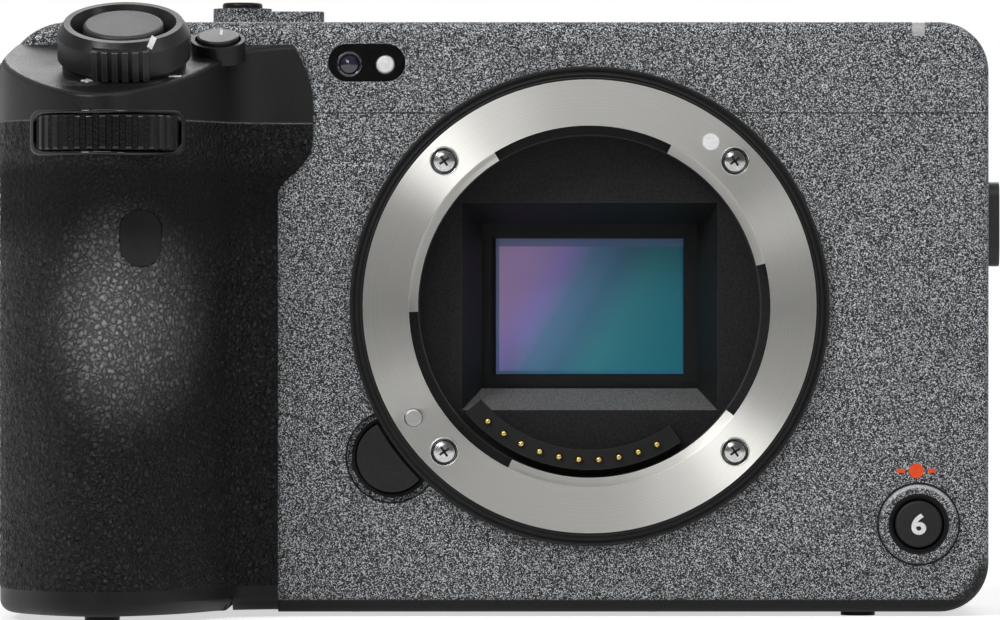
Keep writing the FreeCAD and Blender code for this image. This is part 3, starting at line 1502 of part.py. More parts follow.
parts = {
    "front_cover": front_cover,
    "top_cover": top_cover,
    "rear_cover": rear_cover,
    "bottom_cover": bottom_cover,
    "port_panel": port_panel,
    "grip_shell": grip_shell,
    "grip_leather": grip_leather,
    "grip_top_cover": grip_top_cover,
    "grip_base": grip_base,
    "ir_window": ir_window,
    "mount_surround_ring": mount_surround_ring,
    "mount_flange_ring": mount_flange_ring,
    "mount_screws": mount_screws,
    "mount_index_dot": mount_index_dot,
    "light_box": light_box,
    "contact_block": contact_block,
    "contact_pins": contact_pins,
    "sensor_carrier": sensor_carrier,
    "image_sensor": image_sensor,
    "sensor_glass": sensor_glass,
    "sensor_board": sensor_board,
    "shift_stage": shift_stage,
    "shift_base": shift_base,
    "heat_sink": heat_sink,
    "cooling_fan": cooling_fan,
    "main_board": main_board,
    "sockets": sockets,
    "battery": battery,
    "memory_card": memory_card,
    "battery_door": battery_door,
    "battery_latch": battery_latch,
    "card_door": card_door,
    "shoe_rails": shoe_rails,
    "tally_lamp": tally_lamp,
    "sensor_window": sensor_window,
    "assist_lamp": assist_lamp,
    "record_collar": record_collar,
    "record_button": record_button,
    "lens_release_button": lens_release_button,
    "lock_pin": lock_pin,
    "zoom_lever": zoom_lever,
    "shutter_button": shutter_button,
    "custom_button": custom_button,
    "front_dial": front_dial,
    "rear_dial": rear_dial,
    "control_wheel": control_wheel,
    "select_button": select_button,
    "power_lever": power_lever,
    "power_button": power_button,
    "joystick": joystick,
    "screen_arm": screen_arm,
    "screen_shell": screen_shell,
    "screen_glass": screen_glass,
    "strap_lugs": strap_lugs,
    "thread_bushes": thread_bushes,
}

os.makedirs("parts", exist_ok=True)
for name, make in parts.items():
    make().exportStep(f"parts/{name}.step")
for index, name in enumerate(("upper_port_door", "lower_port_door")):
    port_door(index).exportStep(f"parts/{name}.step")
for name in rear_buttons:
    rear_button(name).exportStep(f"parts/{name}.step")
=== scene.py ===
import math

import bmesh
import bpy
from mathutils import Matrix, Vector, noise
from mathutils.bvhtree import BVHTree


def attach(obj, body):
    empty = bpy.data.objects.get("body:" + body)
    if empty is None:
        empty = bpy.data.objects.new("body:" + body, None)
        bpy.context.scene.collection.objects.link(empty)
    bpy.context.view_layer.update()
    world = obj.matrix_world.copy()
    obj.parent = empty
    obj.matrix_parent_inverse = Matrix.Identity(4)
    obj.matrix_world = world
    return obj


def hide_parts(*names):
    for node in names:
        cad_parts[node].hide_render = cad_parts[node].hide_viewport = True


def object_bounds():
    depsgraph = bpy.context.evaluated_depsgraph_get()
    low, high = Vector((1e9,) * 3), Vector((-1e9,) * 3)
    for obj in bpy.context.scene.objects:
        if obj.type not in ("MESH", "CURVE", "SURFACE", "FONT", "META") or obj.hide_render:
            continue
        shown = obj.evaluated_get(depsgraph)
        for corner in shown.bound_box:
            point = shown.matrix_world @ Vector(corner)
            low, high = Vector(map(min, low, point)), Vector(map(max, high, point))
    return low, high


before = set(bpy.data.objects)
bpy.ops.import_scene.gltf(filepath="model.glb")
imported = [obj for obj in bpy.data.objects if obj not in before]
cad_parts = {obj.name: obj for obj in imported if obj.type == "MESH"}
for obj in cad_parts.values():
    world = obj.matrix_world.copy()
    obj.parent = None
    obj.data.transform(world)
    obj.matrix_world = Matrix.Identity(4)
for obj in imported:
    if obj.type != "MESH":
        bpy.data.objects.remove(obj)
cad_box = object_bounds()

# The studio: a camera 1.1 m in front of the mount, a pale floor under a white background, a
# soft lamp high on the left, a weaker one on the right, and a long one close above the front,
# so that the front darkens downwards.
eye_point = Vector((0, -1.1, 0))
camera_data = bpy.data.cameras.new("photo_camera")
camera_data.sensor_width = 36.0
camera_data.lens = 310.9
camera_data.shift_x = -0.0896
camera_data.shift_y = -0.0037
camera_data.clip_start = 0.05
camera_data.clip_end = 50.0
camera = bpy.data.objects.new("photo_camera", camera_data)
camera.location = eye_point
camera.rotation_euler = (math.radians(90), 0, 0)
bpy.context.scene.collection.objects.link(camera)
bpy.context.scene.camera = camera
bpy.context.scene.view_settings.view_transform = "Standard"


def wire(tree, kind, values, **settings):
    """A new node with its settings, each input named in values set, or linked if it is a socket."""
    made = tree.nodes.new("ShaderNode" + kind)
    for key, value in settings.items():
        setattr(made, key, value)
    for key, value in values.items():
        if isinstance(value, bpy.types.NodeSocket):
            tree.links.new(value, made.inputs[key])
        else:
            made.inputs[key].default_value = value
    return made


def calc(tree, operation, first, second=0.0):
    """The result of one Math node."""
    return wire(tree, "Math", {0: first, 1: second}, operation=operation).outputs[0]


def spread(tree, value, low, high, out_low=0.0, out_high=1.0):
    """A value taken smoothly from one range to another."""
    values = {0: value, 1: low, 2: high, 3: out_low, 4: out_high}
    return wire(tree, "MapRange", values, interpolation_type="SMOOTHSTEP").outputs[0]


def mixed(tree, share, first, second):
    """Two colours mixed by a share."""
    return wire(tree, "Mix", {0: share, 6: first, 7: second}, data_type="RGBA").outputs[2]


def own_point(tree):
    """Where a point of a surface lies on its own object."""
    return wire(tree, "TexCoord", {}).outputs["Object"]


def axis_of(tree, vector, axis):
    """One part of a vector."""
    return wire(tree, "SeparateXYZ", {0: vector}).outputs[axis]


def length_of(tree, vector):
    """The length of a vector."""
    return wire(tree, "VectorMath", {0: vector}, operation="LENGTH").outputs["Value"]


studio = bpy.data.worlds.new("studio")
studio.use_nodes = True
sky = studio.node_tree
sky.nodes.clear()
sky_rays = wire(sky, "LightPath", {})
sky_way = axis_of(sky, wire(sky, "TexCoord", {}).outputs["Generated"], "Y")
sky_gloss = calc(sky, "MULTIPLY", sky_rays.outputs["Is Glossy Ray"], spread(sky, sky_way, -0.6, 0.4, 0.07, 0.45))
sky_seen = calc(sky, "MAXIMUM", sky_rays.outputs["Is Camera Ray"], sky_rays.outputs["Is Transmission Ray"])
sky_soft = calc(sky, "MULTIPLY", sky_rays.outputs["Is Diffuse Ray"], 0.2)
sky_light = calc(sky, "MAXIMUM", calc(sky, "MAXIMUM", sky_gloss, sky_seen), sky_soft)
sky_shade = wire(sky, "Background", {"Color": (1, 1, 1, 1), "Strength": sky_light})
wire(sky, "OutputWorld", {0: sky_shade.outputs[0]})
bpy.context.scene.world = studio

floor_bm = bmesh.new()
bmesh.ops.create_grid(floor_bm, x_segments=4, y_segments=4, size=6.0)
bmesh.ops.translate(floor_bm, verts=floor_bm.verts, vec=(0, 0, cad_box[0].z))
floor_mesh = bpy.data.meshes.new("floor")
floor_bm.to_mesh(floor_mesh)
floor_bm.free()
floor = bpy.data.objects.new("floor", floor_mesh)
bpy.context.scene.collection.objects.link(floor)
floor_look = bpy.data.materials.new("pale_floor")
floor_look.use_nodes = True
tree = floor_look.node_tree
tree.nodes.clear()
rays = wire(tree, "LightPath", {})
glow = spread(tree, length_of(tree, own_point(tree)), 0.15, 1.2, 0.62, 1.0)
seen = calc(tree, "MAXIMUM", rays.outputs["Is Camera Ray"], rays.outputs["Is Transmission Ray"])
seen = calc(tree, "MAXIMUM", seen, calc(tree, "MULTIPLY", rays.outputs["Is Glossy Ray"], 0.3))
paper = wire(tree, "BsdfDiffuse", {"Color": (0.8, 0.8, 0.8, 1)})
paper_glow = wire(tree, "Emission", {"Color": (1, 1, 1, 1), "Strength": calc(tree, "MULTIPLY", glow, seen)})
paper_both = wire(tree, "AddShader", {0: paper.outputs[0], 1: paper_glow.outputs[0]})
wire(tree, "OutputMaterial", {0: paper_both.outputs[0]})
floor_mesh.materials.append(floor_look)


def lamp(name, place, aim, width, height, power):
    """A soft rectangular lamp at a place, turned towards a point."""
    light = bpy.data.lights.new(name, "AREA")
    light.shape = "RECTANGLE"
    light.size = width
    light.size_y = height
    light.energy = power
    made = bpy.data.objects.new(name, light)
    made.location = place
    made.visible_camera = False
    made.rotation_mode = "QUATERNION"
    made.rotation_quaternion = (Vector(aim) - Vector(place)).to_track_quat("-Z", "Y")
    bpy.context.scene.collection.objects.link(made)


lamp("key_lamp", (-0.62, -0.72, 0.62), (0, 0, 0), 0.32, 0.32, 4.6)
lamp("fill_lamp", (-0.26, -1.0, 0.42), (-0.05, 0, 0), 0.26, 0.2, 0.6)
lamp("side_lamp", (0.8, -0.62, 0.36), (-0.03, 0, 0.0), 0.24, 0.24, 0.9)
lamp("top_lamp", (0.03, -0.11, 0.18), (0.02, 0.0, 0.0), 0.26, 0.07, 0.15)
lamp("back_lamp", (0.1, 0.9, 0.6), (0, 0, 0), 0.6, 0.6, 3.0)


# The sensor: a die under clear filter glass, held in a moulded dark frame on its own board. Its colour is painted from
# violet at the upper left through slate to blue green at the foot, a painted reflection of its coating's colour, made
# paler at the upper left where the mount shades it.
die_half = (12.1, 8.75)


def effect(name, inputs, outputs):
    """An empty group of nodes with its inputs and outputs named, and its two ends."""
    group = bpy.data.node_groups.new(name, "ShaderNodeTree")
    for key, value in inputs.items():
        socket = group.interface.new_socket(key, in_out="INPUT", socket_type="NodeSocketFloat")
        socket.default_value = value
    for key in outputs:
        group.interface.new_socket(key, in_out="OUTPUT", socket_type="NodeSocketFloat")
    return group, group.nodes.new("NodeGroupInput"), group.nodes.new("NodeGroupOutput")


# Like its frame, most parts are moulded, coated or machined, and share two effects: clouds of tone with a fine grain,
# and paler edges, partly rubbed by hands and bags and partly a painted highlight where the edges round off.
grain_group, ends_in, ends_out = effect("moulded_grain", {"Size": 0.0004}, ["Grain", "Clouds"])
place = own_point(grain_group)
pitch = calc(grain_group, "DIVIDE", 1.0, ends_in.outputs["Size"])
fine = wire(grain_group, "TexNoise", {"Vector": place, "Scale": pitch, "Detail": 2.0, "Roughness": 0.6})
wide = wire(grain_group, "TexNoise", {"Vector": place, "Scale": 90.0, "Detail": 4.0, "Roughness": 0.55})
grain_group.links.new(fine.outputs[0], ends_out.inputs["Grain"])
grain_group.links.new(wide.outputs[0], ends_out.inputs["Clouds"])

# Paler rounded edges: partly wear, partly a painted highlight.
rub_and_sheen_group, ends_in, ends_out = effect("rubbed_edge", {"Width": 0.0004}, ["Rub"])
rounded = wire(rub_and_sheen_group, "Bevel", {"Radius": ends_in.outputs["Width"]}, samples=4)
plain = wire(rub_and_sheen_group, "NewGeometry", {})
turn = wire(rub_and_sheen_group, "VectorMath", {0: rounded.outputs[0], 1: plain.outputs["Normal"]}, operation="DOT_PRODUCT")
patch = wire(rub_and_sheen_group, "TexNoise", {"Vector": own_point(rub_and_sheen_group), "Scale": 400.0, "Detail": 3.0})
edge = spread(rub_and_sheen_group, turn.outputs["Value"], 0.985, 0.86)
patchy = spread(rub_and_sheen_group, patch.outputs[0], 0.35, 0.7, 0.35, 1.0)
rub_and_sheen_group.links.new(calc(rub_and_sheen_group, "MULTIPLY", edge, patchy), ends_out.inputs["Rub"])


def grouped(tree, group, values):
    """A group of nodes placed in a material with its own values."""
    made = tree.nodes.new("ShaderNodeGroup")
    made.node_tree = group
    for key, value in values.items():
        made.inputs[key].default_value = value
    return made


def principled(name, sockets):
    """A new material, with the shader's own sockets set."""
    material = bpy.data.materials.new(name)
    material.use_nodes = True
    shader = material.node_tree.nodes["Principled BSDF"]
    for key, value in sockets.items():
        shader.inputs[key].default_value = value
    return material, material.node_tree, shader


def bumped(tree, shader, height, distance, strength=1.0):
    """Gives a shader a bump of a height value, its distance in metres."""
    bump = wire(tree, "Bump", {"Strength": strength, "Distance": distance, "Height": height})
    tree.links.new(bump.outputs[0], shader.inputs["Normal"])


def grey(tone, warmth=0.0):
    """A neutral colour, a little warmer or cooler."""
    return (tone * (1 + warmth), tone, tone * (1 - warmth), 1)


def toned(colour, gain, lift=0.0):
    """A colour made lighter or darker."""
    return tuple(min(1.0, part * gain + lift) for part in colour[:3]) + (1,)


def moulded(name, colour, roughness, grain=0.0004, depth=0.00002, rub_and_sheen=0.5, shine=0.4, metal=0.0):
    """Moulded or painted surface with clouds of tone, a grain of its own size and depth, and paler edges, partly
    rubbed and partly painted highlight.
    """
    material, tree, shader = principled(name, {"Specular IOR Level": shine, "Metallic": metal})
    skin = grouped(tree, grain_group, {"Size": grain})
    edges = grouped(tree, rub_and_sheen_group, {"Width": 0.0003})
    clouds = calc(tree, "MULTIPLY", skin.outputs["Clouds"], 0.5)
    tone = calc(tree, "ADD", clouds, calc(tree, "MULTIPLY", skin.outputs["Grain"], 0.5))
    body = mixed(tree, spread(tree, tone, 0.3, 0.7), toned(colour, 0.78), toned(colour, 1.25, 0.002))
    # Paler edges: wear and a painted highlight.
    wear_and_sheen = calc(tree, "MULTIPLY", edges.outputs["Rub"], rub_and_sheen)
    tree.links.new(mixed(tree, wear_and_sheen, body, toned(colour, 2.0, 0.02)), shader.inputs["Base Color"])
    rough = spread(tree, skin.outputs["Clouds"], 0.3, 0.7, roughness - 0.05, roughness + 0.05)
    tree.links.new(rough, shader.inputs["Roughness"])
    bumped(tree, shader, skin.outputs["Grain"], depth)
    return material


def dress(material, *names):
    """Gives nodes of the frame their finish."""
    for name in names:
        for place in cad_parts[name].material_slots:
            place.material = material


def ramped(tree, share, stops):
    """A colour taken by a share from a row of positions and colours."""
    made = wire(tree, "ValToRGB", {0: share})
    elements = made.color_ramp.elements
    elements[0].position, elements[0].color = stops[0]
    elements[1].position, elements[1].color = stops[-1]
    for position, colour in stops[1:-1]:
        elements.new(position).color = colour
    return made.outputs[0]


sensor_look, tree, shader = principled("sensor_face", {"Roughness": 0.3, "Specular IOR Level": 0.3})
place = own_point(tree)
across = calc(tree, "MULTIPLY", axis_of(tree, place, "X"), 1000.0)
up = calc(tree, "MULTIPLY", axis_of(tree, place, "Z"), 1000.0)
down = calc(tree, "SUBTRACT", calc(tree, "MULTIPLY", across, 0.9), calc(tree, "MULTIPLY", up, 0.55))
# Painted reflection: the coating's colour across the die, made paler at the upper left against the mount's shade.
painted_interference_stops = (
    (0.0, (0.78, 0.52, 1.0, 1)),
    (0.14, (0.50, 0.40, 1.0, 1)),
    (0.3, (0.17, 0.34, 0.60, 1)),
    (0.5, (0.08, 0.25, 0.40, 1)),
    (0.7, (0.045, 0.30, 0.36, 1)),
    (1.0, (0.006, 0.24, 0.32, 1)),
)
painted_interference = ramped(tree, spread(tree, down, -13.0, 14.0), painted_interference_stops)
rows = {"Vector": place, "Scale": 2600.0, "Distortion": 0.0}
lines = wire(tree, "TexWave", rows, wave_type="BANDS", bands_direction="Z")
die = mixed(tree, calc(tree, "MULTIPLY", lines.outputs[1], 0.08), painted_interference, (0.3, 0.4, 0.5, 1))
head = spread(tree, up, die_half[1] - 1.05, die_half[1] - 0.95)
foot = spread(tree, calc(tree, "MULTIPLY", up, -1.0), die_half[1] - 0.45, die_half[1] - 0.35)
aside = calc(tree, "ABSOLUTE", across)
rim = calc(tree, "MAXIMUM", foot, spread(tree, aside, die_half[0] - 0.45, die_half[0] - 0.35))
edged = mixed(tree, calc(tree, "MULTIPLY", rim, 0.7), die, (0.03, 0.20, 0.36, 1))
edged = mixed(tree, calc(tree, "MULTIPLY", head, 0.8), edged, (0.16, 0.25, 0.48, 1))
past_side = spread(tree, aside, die_half[0], die_half[0] + 0.05)
past_end = spread(tree, calc(tree, "ABSOLUTE", up), die_half[1], die_half[1] + 0.05)
outside = calc(tree, "MAXIMUM", past_side, past_end)
tree.links.new(mixed(tree, outside, edged, (0.008, 0.010, 0.012, 1)), shader.inputs["Base Color"])
dress(sensor_look, "image_sensor")

glass_look, tree, shader = principled("filter_glass", {"Base Color": (0.02, 0.05, 0.07, 1), "Specular IOR Level": 0.3})
film = wire(tree, "TexNoise", {"Vector": own_point(tree), "Scale": 60.0, "Detail": 2.0})
tree.links.new(spread(tree, film.outputs[0], 0.3, 0.7, 0.03, 0.06), shader.inputs["Alpha"])
tree.links.new(spread(tree, film.outputs[0], 0.3, 0.7, 0.03, 0.08), shader.inputs["Roughness"])
dress(glass_look, "sensor_glass")
dress(moulded("sensor_frame", grey(0.006), 0.5, 0.0003, 0.00001, 0.3, 0.3), "sensor_carrier")

# Behind the sensor: green boards with tinned pads, a stamped steel stage that slides on a cast
# base, a finned aluminium sink with its fan, and the pressed steel sockets.
board_look, tree, shader = principled("circuit_board", {"Roughness": 0.35})
place = own_point(tree)
lacquer = {"Color1": (0.012, 0.09, 0.045, 1), "Color2": (0.016, 0.12, 0.06, 1), "Mortar": (0.05, 0.22, 0.11, 1)}
tracks = wire(tree, "TexBrick", {"Vector": place, "Scale": 260.0, "Mortar Size": 0.02, **lacquer})
pads = wire(tree, "TexVoronoi", {"Vector": place, "Scale": 420.0, "Randomness": 0.6})
pad = spread(tree, pads.outputs["Distance"], 0.16, 0.12)
tree.links.new(mixed(tree, pad, tracks.outputs[0], (0.7, 0.66, 0.55, 1)), shader.inputs["Base Color"])
tree.links.new(calc(tree, "MULTIPLY", pad, 0.9), shader.inputs["Metallic"])
dress(board_look, "sensor_board", "main_board")


def machined(name, colour, roughness, grain=0.00025, depth=0.000006, rub_and_sheen=0.3):
    """Bare or blasted metal with a fine grain and brighter edges."""
    return moulded(name, colour, roughness, grain, depth, rub_and_sheen, 0.5, 1.0)


dress(machined("stamped_steel", grey(0.52), 0.35), "shift_stage", "sockets")
dress(moulded("cast_base", grey(0.03), 0.5, 0.0005), "shift_base")
dress(machined("sink_aluminium", grey(0.62), 0.38), "heat_sink")
dress(moulded("fan_plastic", grey(0.012), 0.45, 0.0006), "cooling_fan")

# The light box: a black moulded funnel between the mount and the sensor, blasted dull so that it throws no light back.
# A thin painted highlight circles its throat, and its upward faces such as the floor ramp are painted paler, as if lit
# from above.
throat_r = 21.9


def from_front(tree, place, middle=(0, 0)):
    """A place seen from the front, in millimetres from a middle given by its x and z."""
    values = {0: place, 1: (1000, 0, 1000), 2: (-middle[0], 0, -middle[1])}
    return wire(tree, "VectorMath", values, operation="MULTIPLY_ADD").outputs[0]


def line_at(tree, value, level, clear, full):
    """1 where a value is at a level, to within full, and 0 from clear on."""
    return spread(tree, calc(tree, "ABSOLUTE", calc(tree, "SUBTRACT", value, level)), clear, full)


chamber_look, tree, shader = principled("chamber_black", {"Specular IOR Level": 0.25, "Roughness": 0.6})
skin = grouped(tree, grain_group, {"Size": 0.00022})
edges = grouped(tree, rub_and_sheen_group, {"Width": 0.0003})
# Painted highlight: a pale line circles the throat.
throat_highlight = line_at(tree, length_of(tree, from_front(tree, own_point(tree))), throat_r, 0.12, 0.03)
base = mixed(tree, spread(tree, skin.outputs["Grain"], 0.3, 0.7), grey(0.006), grey(0.018))
# Painted light: faces turned upwards are made paler.
up = axis_of(tree, wire(tree, "NewGeometry", {}).outputs["Normal"], "Z")
painted_lit_floor = mixed(tree, spread(tree, skin.outputs["Grain"], 0.35, 0.65), grey(0.08), grey(0.19))
base = mixed(tree, spread(tree, up, 0.05, 0.25), base, painted_lit_floor)
base = mixed(tree, calc(tree, "MULTIPLY", throat_highlight, 0.5), base, grey(0.08))
wear_and_sheen = calc(tree, "MULTIPLY", edges.outputs[0], 0.35)
tree.links.new(mixed(tree, wear_and_sheen, base, grey(0.09)), shader.inputs["Base Color"])
bumped(tree, shader, skin.outputs["Grain"], 0.00003)
dress(chamber_look, "light_box")

# The lens contacts: ten gilt pins with round tips in a dark crescent block, each sprung so that
# it gives under the lens.
pin_circle = 19.6
pin_tip_y = 6.6
first_pin = 228.5
pin_step = 7.49
forward = (0, -1, 0)
dress(moulded("contact_black", grey(0.008), 0.5, 0.0002, 0.00001, 0.5, 0.3), "contact_block")


def standing(point, way):
    """The place of a piece made upright at the origin in millimetres, which then points a given way."""
    turn = Vector(way).to_track_quat("Z", "Y").to_matrix().to_4x4()
    return Matrix.Scale(0.001, 4) @ Matrix.Translation(point) @ turn


def settle(bm, verts, place):
    """Puts new vertices in their place, and tags them so that the next shape leaves them there."""
    bmesh.ops.transform(bm, matrix=place, verts=verts)
    for vert in verts:
        vert.tag = True


def turned(bm, profile, place, steps=48):
    """Adds a shape turned from (radius, height) points, put in its place."""
    points = [bm.verts.new((r, 0, h)) for r, h in profile]
    sides = [bm.edges.new(pair) for pair in zip(points, points[1:])]
    bmesh.ops.spin(
        bm, geom=points + sides, cent=(0, 0, 0), axis=(0, 0, 1), angle=2 * math.pi, steps=steps, use_merge=True
    )
    fresh = set(points) | {v for e in sides if e.is_valid for v in e.verts}
    fresh |= {v for v in bm.verts if v.index == -1}
    bmesh.ops.remove_doubles(bm, verts=[v for v in fresh if v.is_valid], dist=1e-5)
    settle(bm, [v for v in bm.verts if not v.tag], place)


def piece(name, bm, look, body, sharp=35):
    """Makes a bmesh a piece of the camera with its finish, riding on a body."""
    bmesh.ops.recalc_face_normals(bm, faces=bm.faces)
    mesh = bpy.data.meshes.new(name)
    bm.to_mesh(mesh)
    bm.free()
    mesh.shade_smooth()
    mesh.set_sharp_from_angle(angle=math.radians(sharp))
    mesh.materials.append(look)
    made = bpy.data.objects.new(name, mesh)
    bpy.context.scene.collection.objects.link(made)
    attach(made, body)
    return made


def on_circle(radius, degrees, y):
    """A point on a circle round the mount's axis."""
    turn = math.radians(degrees)
    return Vector((radius * math.cos(turn), y, radius * math.sin(turn)))


pin_bm = bmesh.new()
pin_outline = [(0, 0), (0.45, 0), (0.45, 4.2), (0.4, 4.45), (0.27, 4.62), (0.12, 4.69), (0, 4.7)]
for index in range(10):
    tip = on_circle(pin_circle, first_pin + pin_step * index, pin_tip_y)
    turned(pin_bm, pin_outline, standing(tip, forward), 20)
pins = piece("gilt_pins", pin_bm, machined("pin_gold", (0.95, 0.62, 0.22, 1), 0.16), "contact_pins")
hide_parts("contact_pins")

# The flange ring: turned stainless steel with a very fine lay round its own middle, so that light lies on it in two
# bright fans and leaves two dull ones. Its inner edge is polished, and its rounded edges are painted paler, a painted
# highlight.
ring_sockets = {"Metallic": 1.0, "Anisotropic": 1.0, "Anisotropic Rotation": 0.25}
ring_look, tree, shader = principled("mount_steel", ring_sockets)
flat = wire(tree, "VectorMath", {0: own_point(tree), 1: (1, 0, 1)}, operation="MULTIPLY").outputs[0]
radius = length_of(tree, flat)
lay = {"W": radius, "Scale": 9000.0, "Detail": 2.0, "Roughness": 0.7}
rings = wire(tree, "TexNoise", lay, noise_dimensions="1D")
broad = wire(tree, "TexNoise", {"W": radius, "Scale": 500.0, "Detail": 2.0}, noise_dimensions="1D")
edges = grouped(tree, rub_and_sheen_group, {"Width": 0.00025})
tone = mixed(tree, spread(tree, rings.outputs[0], 0.25, 0.75), (0.70, 0.69, 0.655, 1), (0.80, 0.79, 0.755, 1))
# Painted highlight: the rounded edges are made near white.
tree.links.new(mixed(tree, edges.outputs[0], tone, (0.95, 0.94, 0.92, 1)), shader.inputs["Base Color"])
rough = spread(tree, rings.outputs[0], 0.3, 0.7, 0.33, 0.38)
rough = calc(tree, "ADD", rough, spread(tree, broad.outputs[0], 0.3, 0.7, -0.01, 0.01))
tree.links.new(rough, shader.inputs["Roughness"])
bumped(tree, shader, rings.outputs[0], 0.000001, 0.3)
around = wire(tree, "Tangent", {}, direction_type="RADIAL", axis="Y")
tree.links.new(around.outputs[0], shader.inputs["Tangent"])
dress(ring_look, "mount_flange_ring")

# Four cross-head screws hold the ring. Each is a low steel dome with a cross recess, sunk in a seat with a bright rim,
# and drives into the light box behind. Dark sheets over the cross and round the seat's wall are painted shade.
screw_circle = 26.2
screw_head_r = 1.45
screw_length = 6.0
screw_steel = machined("screw_steel", grey(0.74), 0.2, 0.0003)


def cross_screw(bm, point, way, head_r, length, dome=0.32):
    """Adds a domed screw head on its shank."""
    shank_r = head_r * 0.6
    outline = [(0, -length), (shank_r, -length), (shank_r, -0.6), (head_r, -0.6), (head_r, -dome)]
    outline += [(head_r * 0.93, -dome * 0.55), (head_r * 0.7, -dome * 0.2), (head_r * 0.42, 0), (0, 0)]
    turned(bm, outline, standing(point, way), 32)


def cross_recess_shade(bm, point, way, head_r):
    """Adds a dark cross, painted shade for the recess, just over the flat of a screw's dome."""
    proud, thick, angle = 0.02, 0.3, 0.6
    place = standing(point, way)
    for long, wide in ((1.0, 0.2), (0.2, 1.0)):
        verts = bmesh.ops.create_cube(bm, size=1.0)["verts"]
        bmesh.ops.scale(bm, vec=(head_r * long, head_r * wide, thick), verts=verts)
        bmesh.ops.translate(bm, vec=(0, 0, proud - thick / 2), verts=verts)
        bmesh.ops.rotate(bm, cent=(0, 0, 0), matrix=Matrix.Rotation(angle, 3, "Z"), verts=verts)
        settle(bm, verts, place)


recess_shade_look = moulded("recess_black", grey(0.01), 0.5, 0.0003, 0.00001, 0.0, 0.3)
screw_bm = bmesh.new()
mark_bm = bmesh.new()
rim_bm = bmesh.new()
seat_wall = [(1.4, -1.6), (1.67, -1.6), (1.67, 0.1), (1.6, 0.1), (1.6, -1.5), (1.4, -1.5), (1.4, -1.6)]
rim_turns = [math.radians(45 * k) for k in range(9)]
rim_outline = [(1.78 + 0.09 * math.cos(turn), 0.15 + 0.07 * math.sin(turn)) for turn in rim_turns]
for degrees in (45, 135, 225, 315):
    seat = on_circle(screw_circle, degrees, 0.15)
    cross_screw(screw_bm, seat, forward, screw_head_r, screw_length)
    cross_recess_shade(mark_bm, seat, forward, screw_head_r)
    # Painted shade: a dark cup lines the seat.
    turned(mark_bm, seat_wall, standing(seat, forward), 40)
    turned(rim_bm, rim_outline, standing(seat, forward), 48)
heads = piece("flange_screws", screw_bm, screw_steel, "camera")
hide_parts("mount_screws")
piece("flange_screw_recesses", mark_bm, recess_shade_look, "camera")
piece("flange_screw_rims", rim_bm, screw_steel, "camera")

# A white enamel dot let into the front shows where the lens goes on, and a blasted steel pin,
# sprung through the flange, locks it there.
dress(moulded("white_enamel", grey(0.98), 0.2, 0.0006, 0.00001, 0.0, 0.5), "mount_index_dot")
dress(machined("pin_steel", grey(0.5), 0.4, 0.0002, 0.00002), "lock_pin")

# The surround: a black anodised aluminium ring that frames the flange, turned with fine ridges, each painted paler
# along its crest as a painted highlight, and set in the front cover's opening.
ridge_pitch = 0.42
surround_look, tree, shader = principled("surround_black", {"Specular IOR Level": 0.4, "Roughness": 0.3})
radius = length_of(tree, from_front(tree, own_point(tree)))
skin = grouped(tree, grain_group, {"Size": 0.0003})
ridge_and_glint = line_at(tree, calc(tree, "FRACT", calc(tree, "DIVIDE", radius, ridge_pitch)), 0.5, 0.12, 0.02)
base = mixed(tree, spread(tree, skin.outputs["Grain"], 0.3, 0.7), grey(0.004), grey(0.009))
# Painted highlight: paler lines along the ridges.
tree.links.new(mixed(tree, calc(tree, "MULTIPLY", ridge_and_glint, 0.8), base, grey(0.07)), shader.inputs["Base Color"])
bumped(tree, shader, ridge_and_glint, 0.00004)
dress(surround_look, "mount_surround_ring")

# The covers, the collar and the power lever: cast magnesium, sprayed with a charcoal coat full of pale flakes. A
# hairline shows the seam, and the two button recesses are darkened round their edges, the record button's with painted
# shade and shadow and a painted highlight on its collar's upper rim. The lower right corner is dark, and the thumb
# rest on the back is black rubber.
seam_z = 24.68
release_middle = (-25.2, -19.2)
record_middle = (42.0, -27.8)
corner_middle = (44.7, -32.7)
past_body = 60
coat_look, tree, shader = principled("speckled_coat", {"Specular IOR Level": 0.3})
place = own_point(tree)
back = axis_of(tree, place, "Y")
flakes = wire(tree, "TexVoronoi", {"Vector": place, "Scale": 9500.0, "Randomness": 1.0})
flake = wire(tree, "SeparateColor", {0: flakes.outputs["Color"]})
clouds = wire(tree, "TexNoise", {"Vector": place, "Scale": 6000.0, "Detail": 2.0, "Roughness": 0.7})
speckle = calc(tree, "MULTIPLY", flake.outputs[0], 0.72)
speckle = calc(tree, "ADD", speckle, calc(tree, "MULTIPLY", clouds.outputs[0], 0.28))
flake_tones = (
    (0.26, grey(0.006, -0.04)),
    (0.44, grey(0.035, -0.04)),
    (0.64, grey(0.15, -0.045)),
    (0.77, grey(0.78, -0.045)),
)
# Paler edges, partly rubbed and partly a painted highlight.
edges = grouped(tree, rub_and_sheen_group, {"Width": 0.0004})
paint = mixed(tree, calc(tree, "MULTIPLY", edges.outputs[0], 0.3), ramped(tree, speckle, flake_tones), grey(0.3))
front = spread(tree, back, 0.02, 0.018)

# The seam's hairline, and the edge and groove of the release button's recess.
seam = line_at(tree, calc(tree, "MULTIPLY", axis_of(tree, place, "Z"), 1000.0), seam_z, 0.11, 0.04)
reach = length_of(tree, from_front(tree, place, release_middle))
release = calc(tree, "MAXIMUM", spread(tree, reach, 5.25, 5.15), line_at(tree, reach, 5.9, 0.14, 0.06))
dark = calc(tree, "MAXIMUM", seam, calc(tree, "MULTIPLY", release, front))

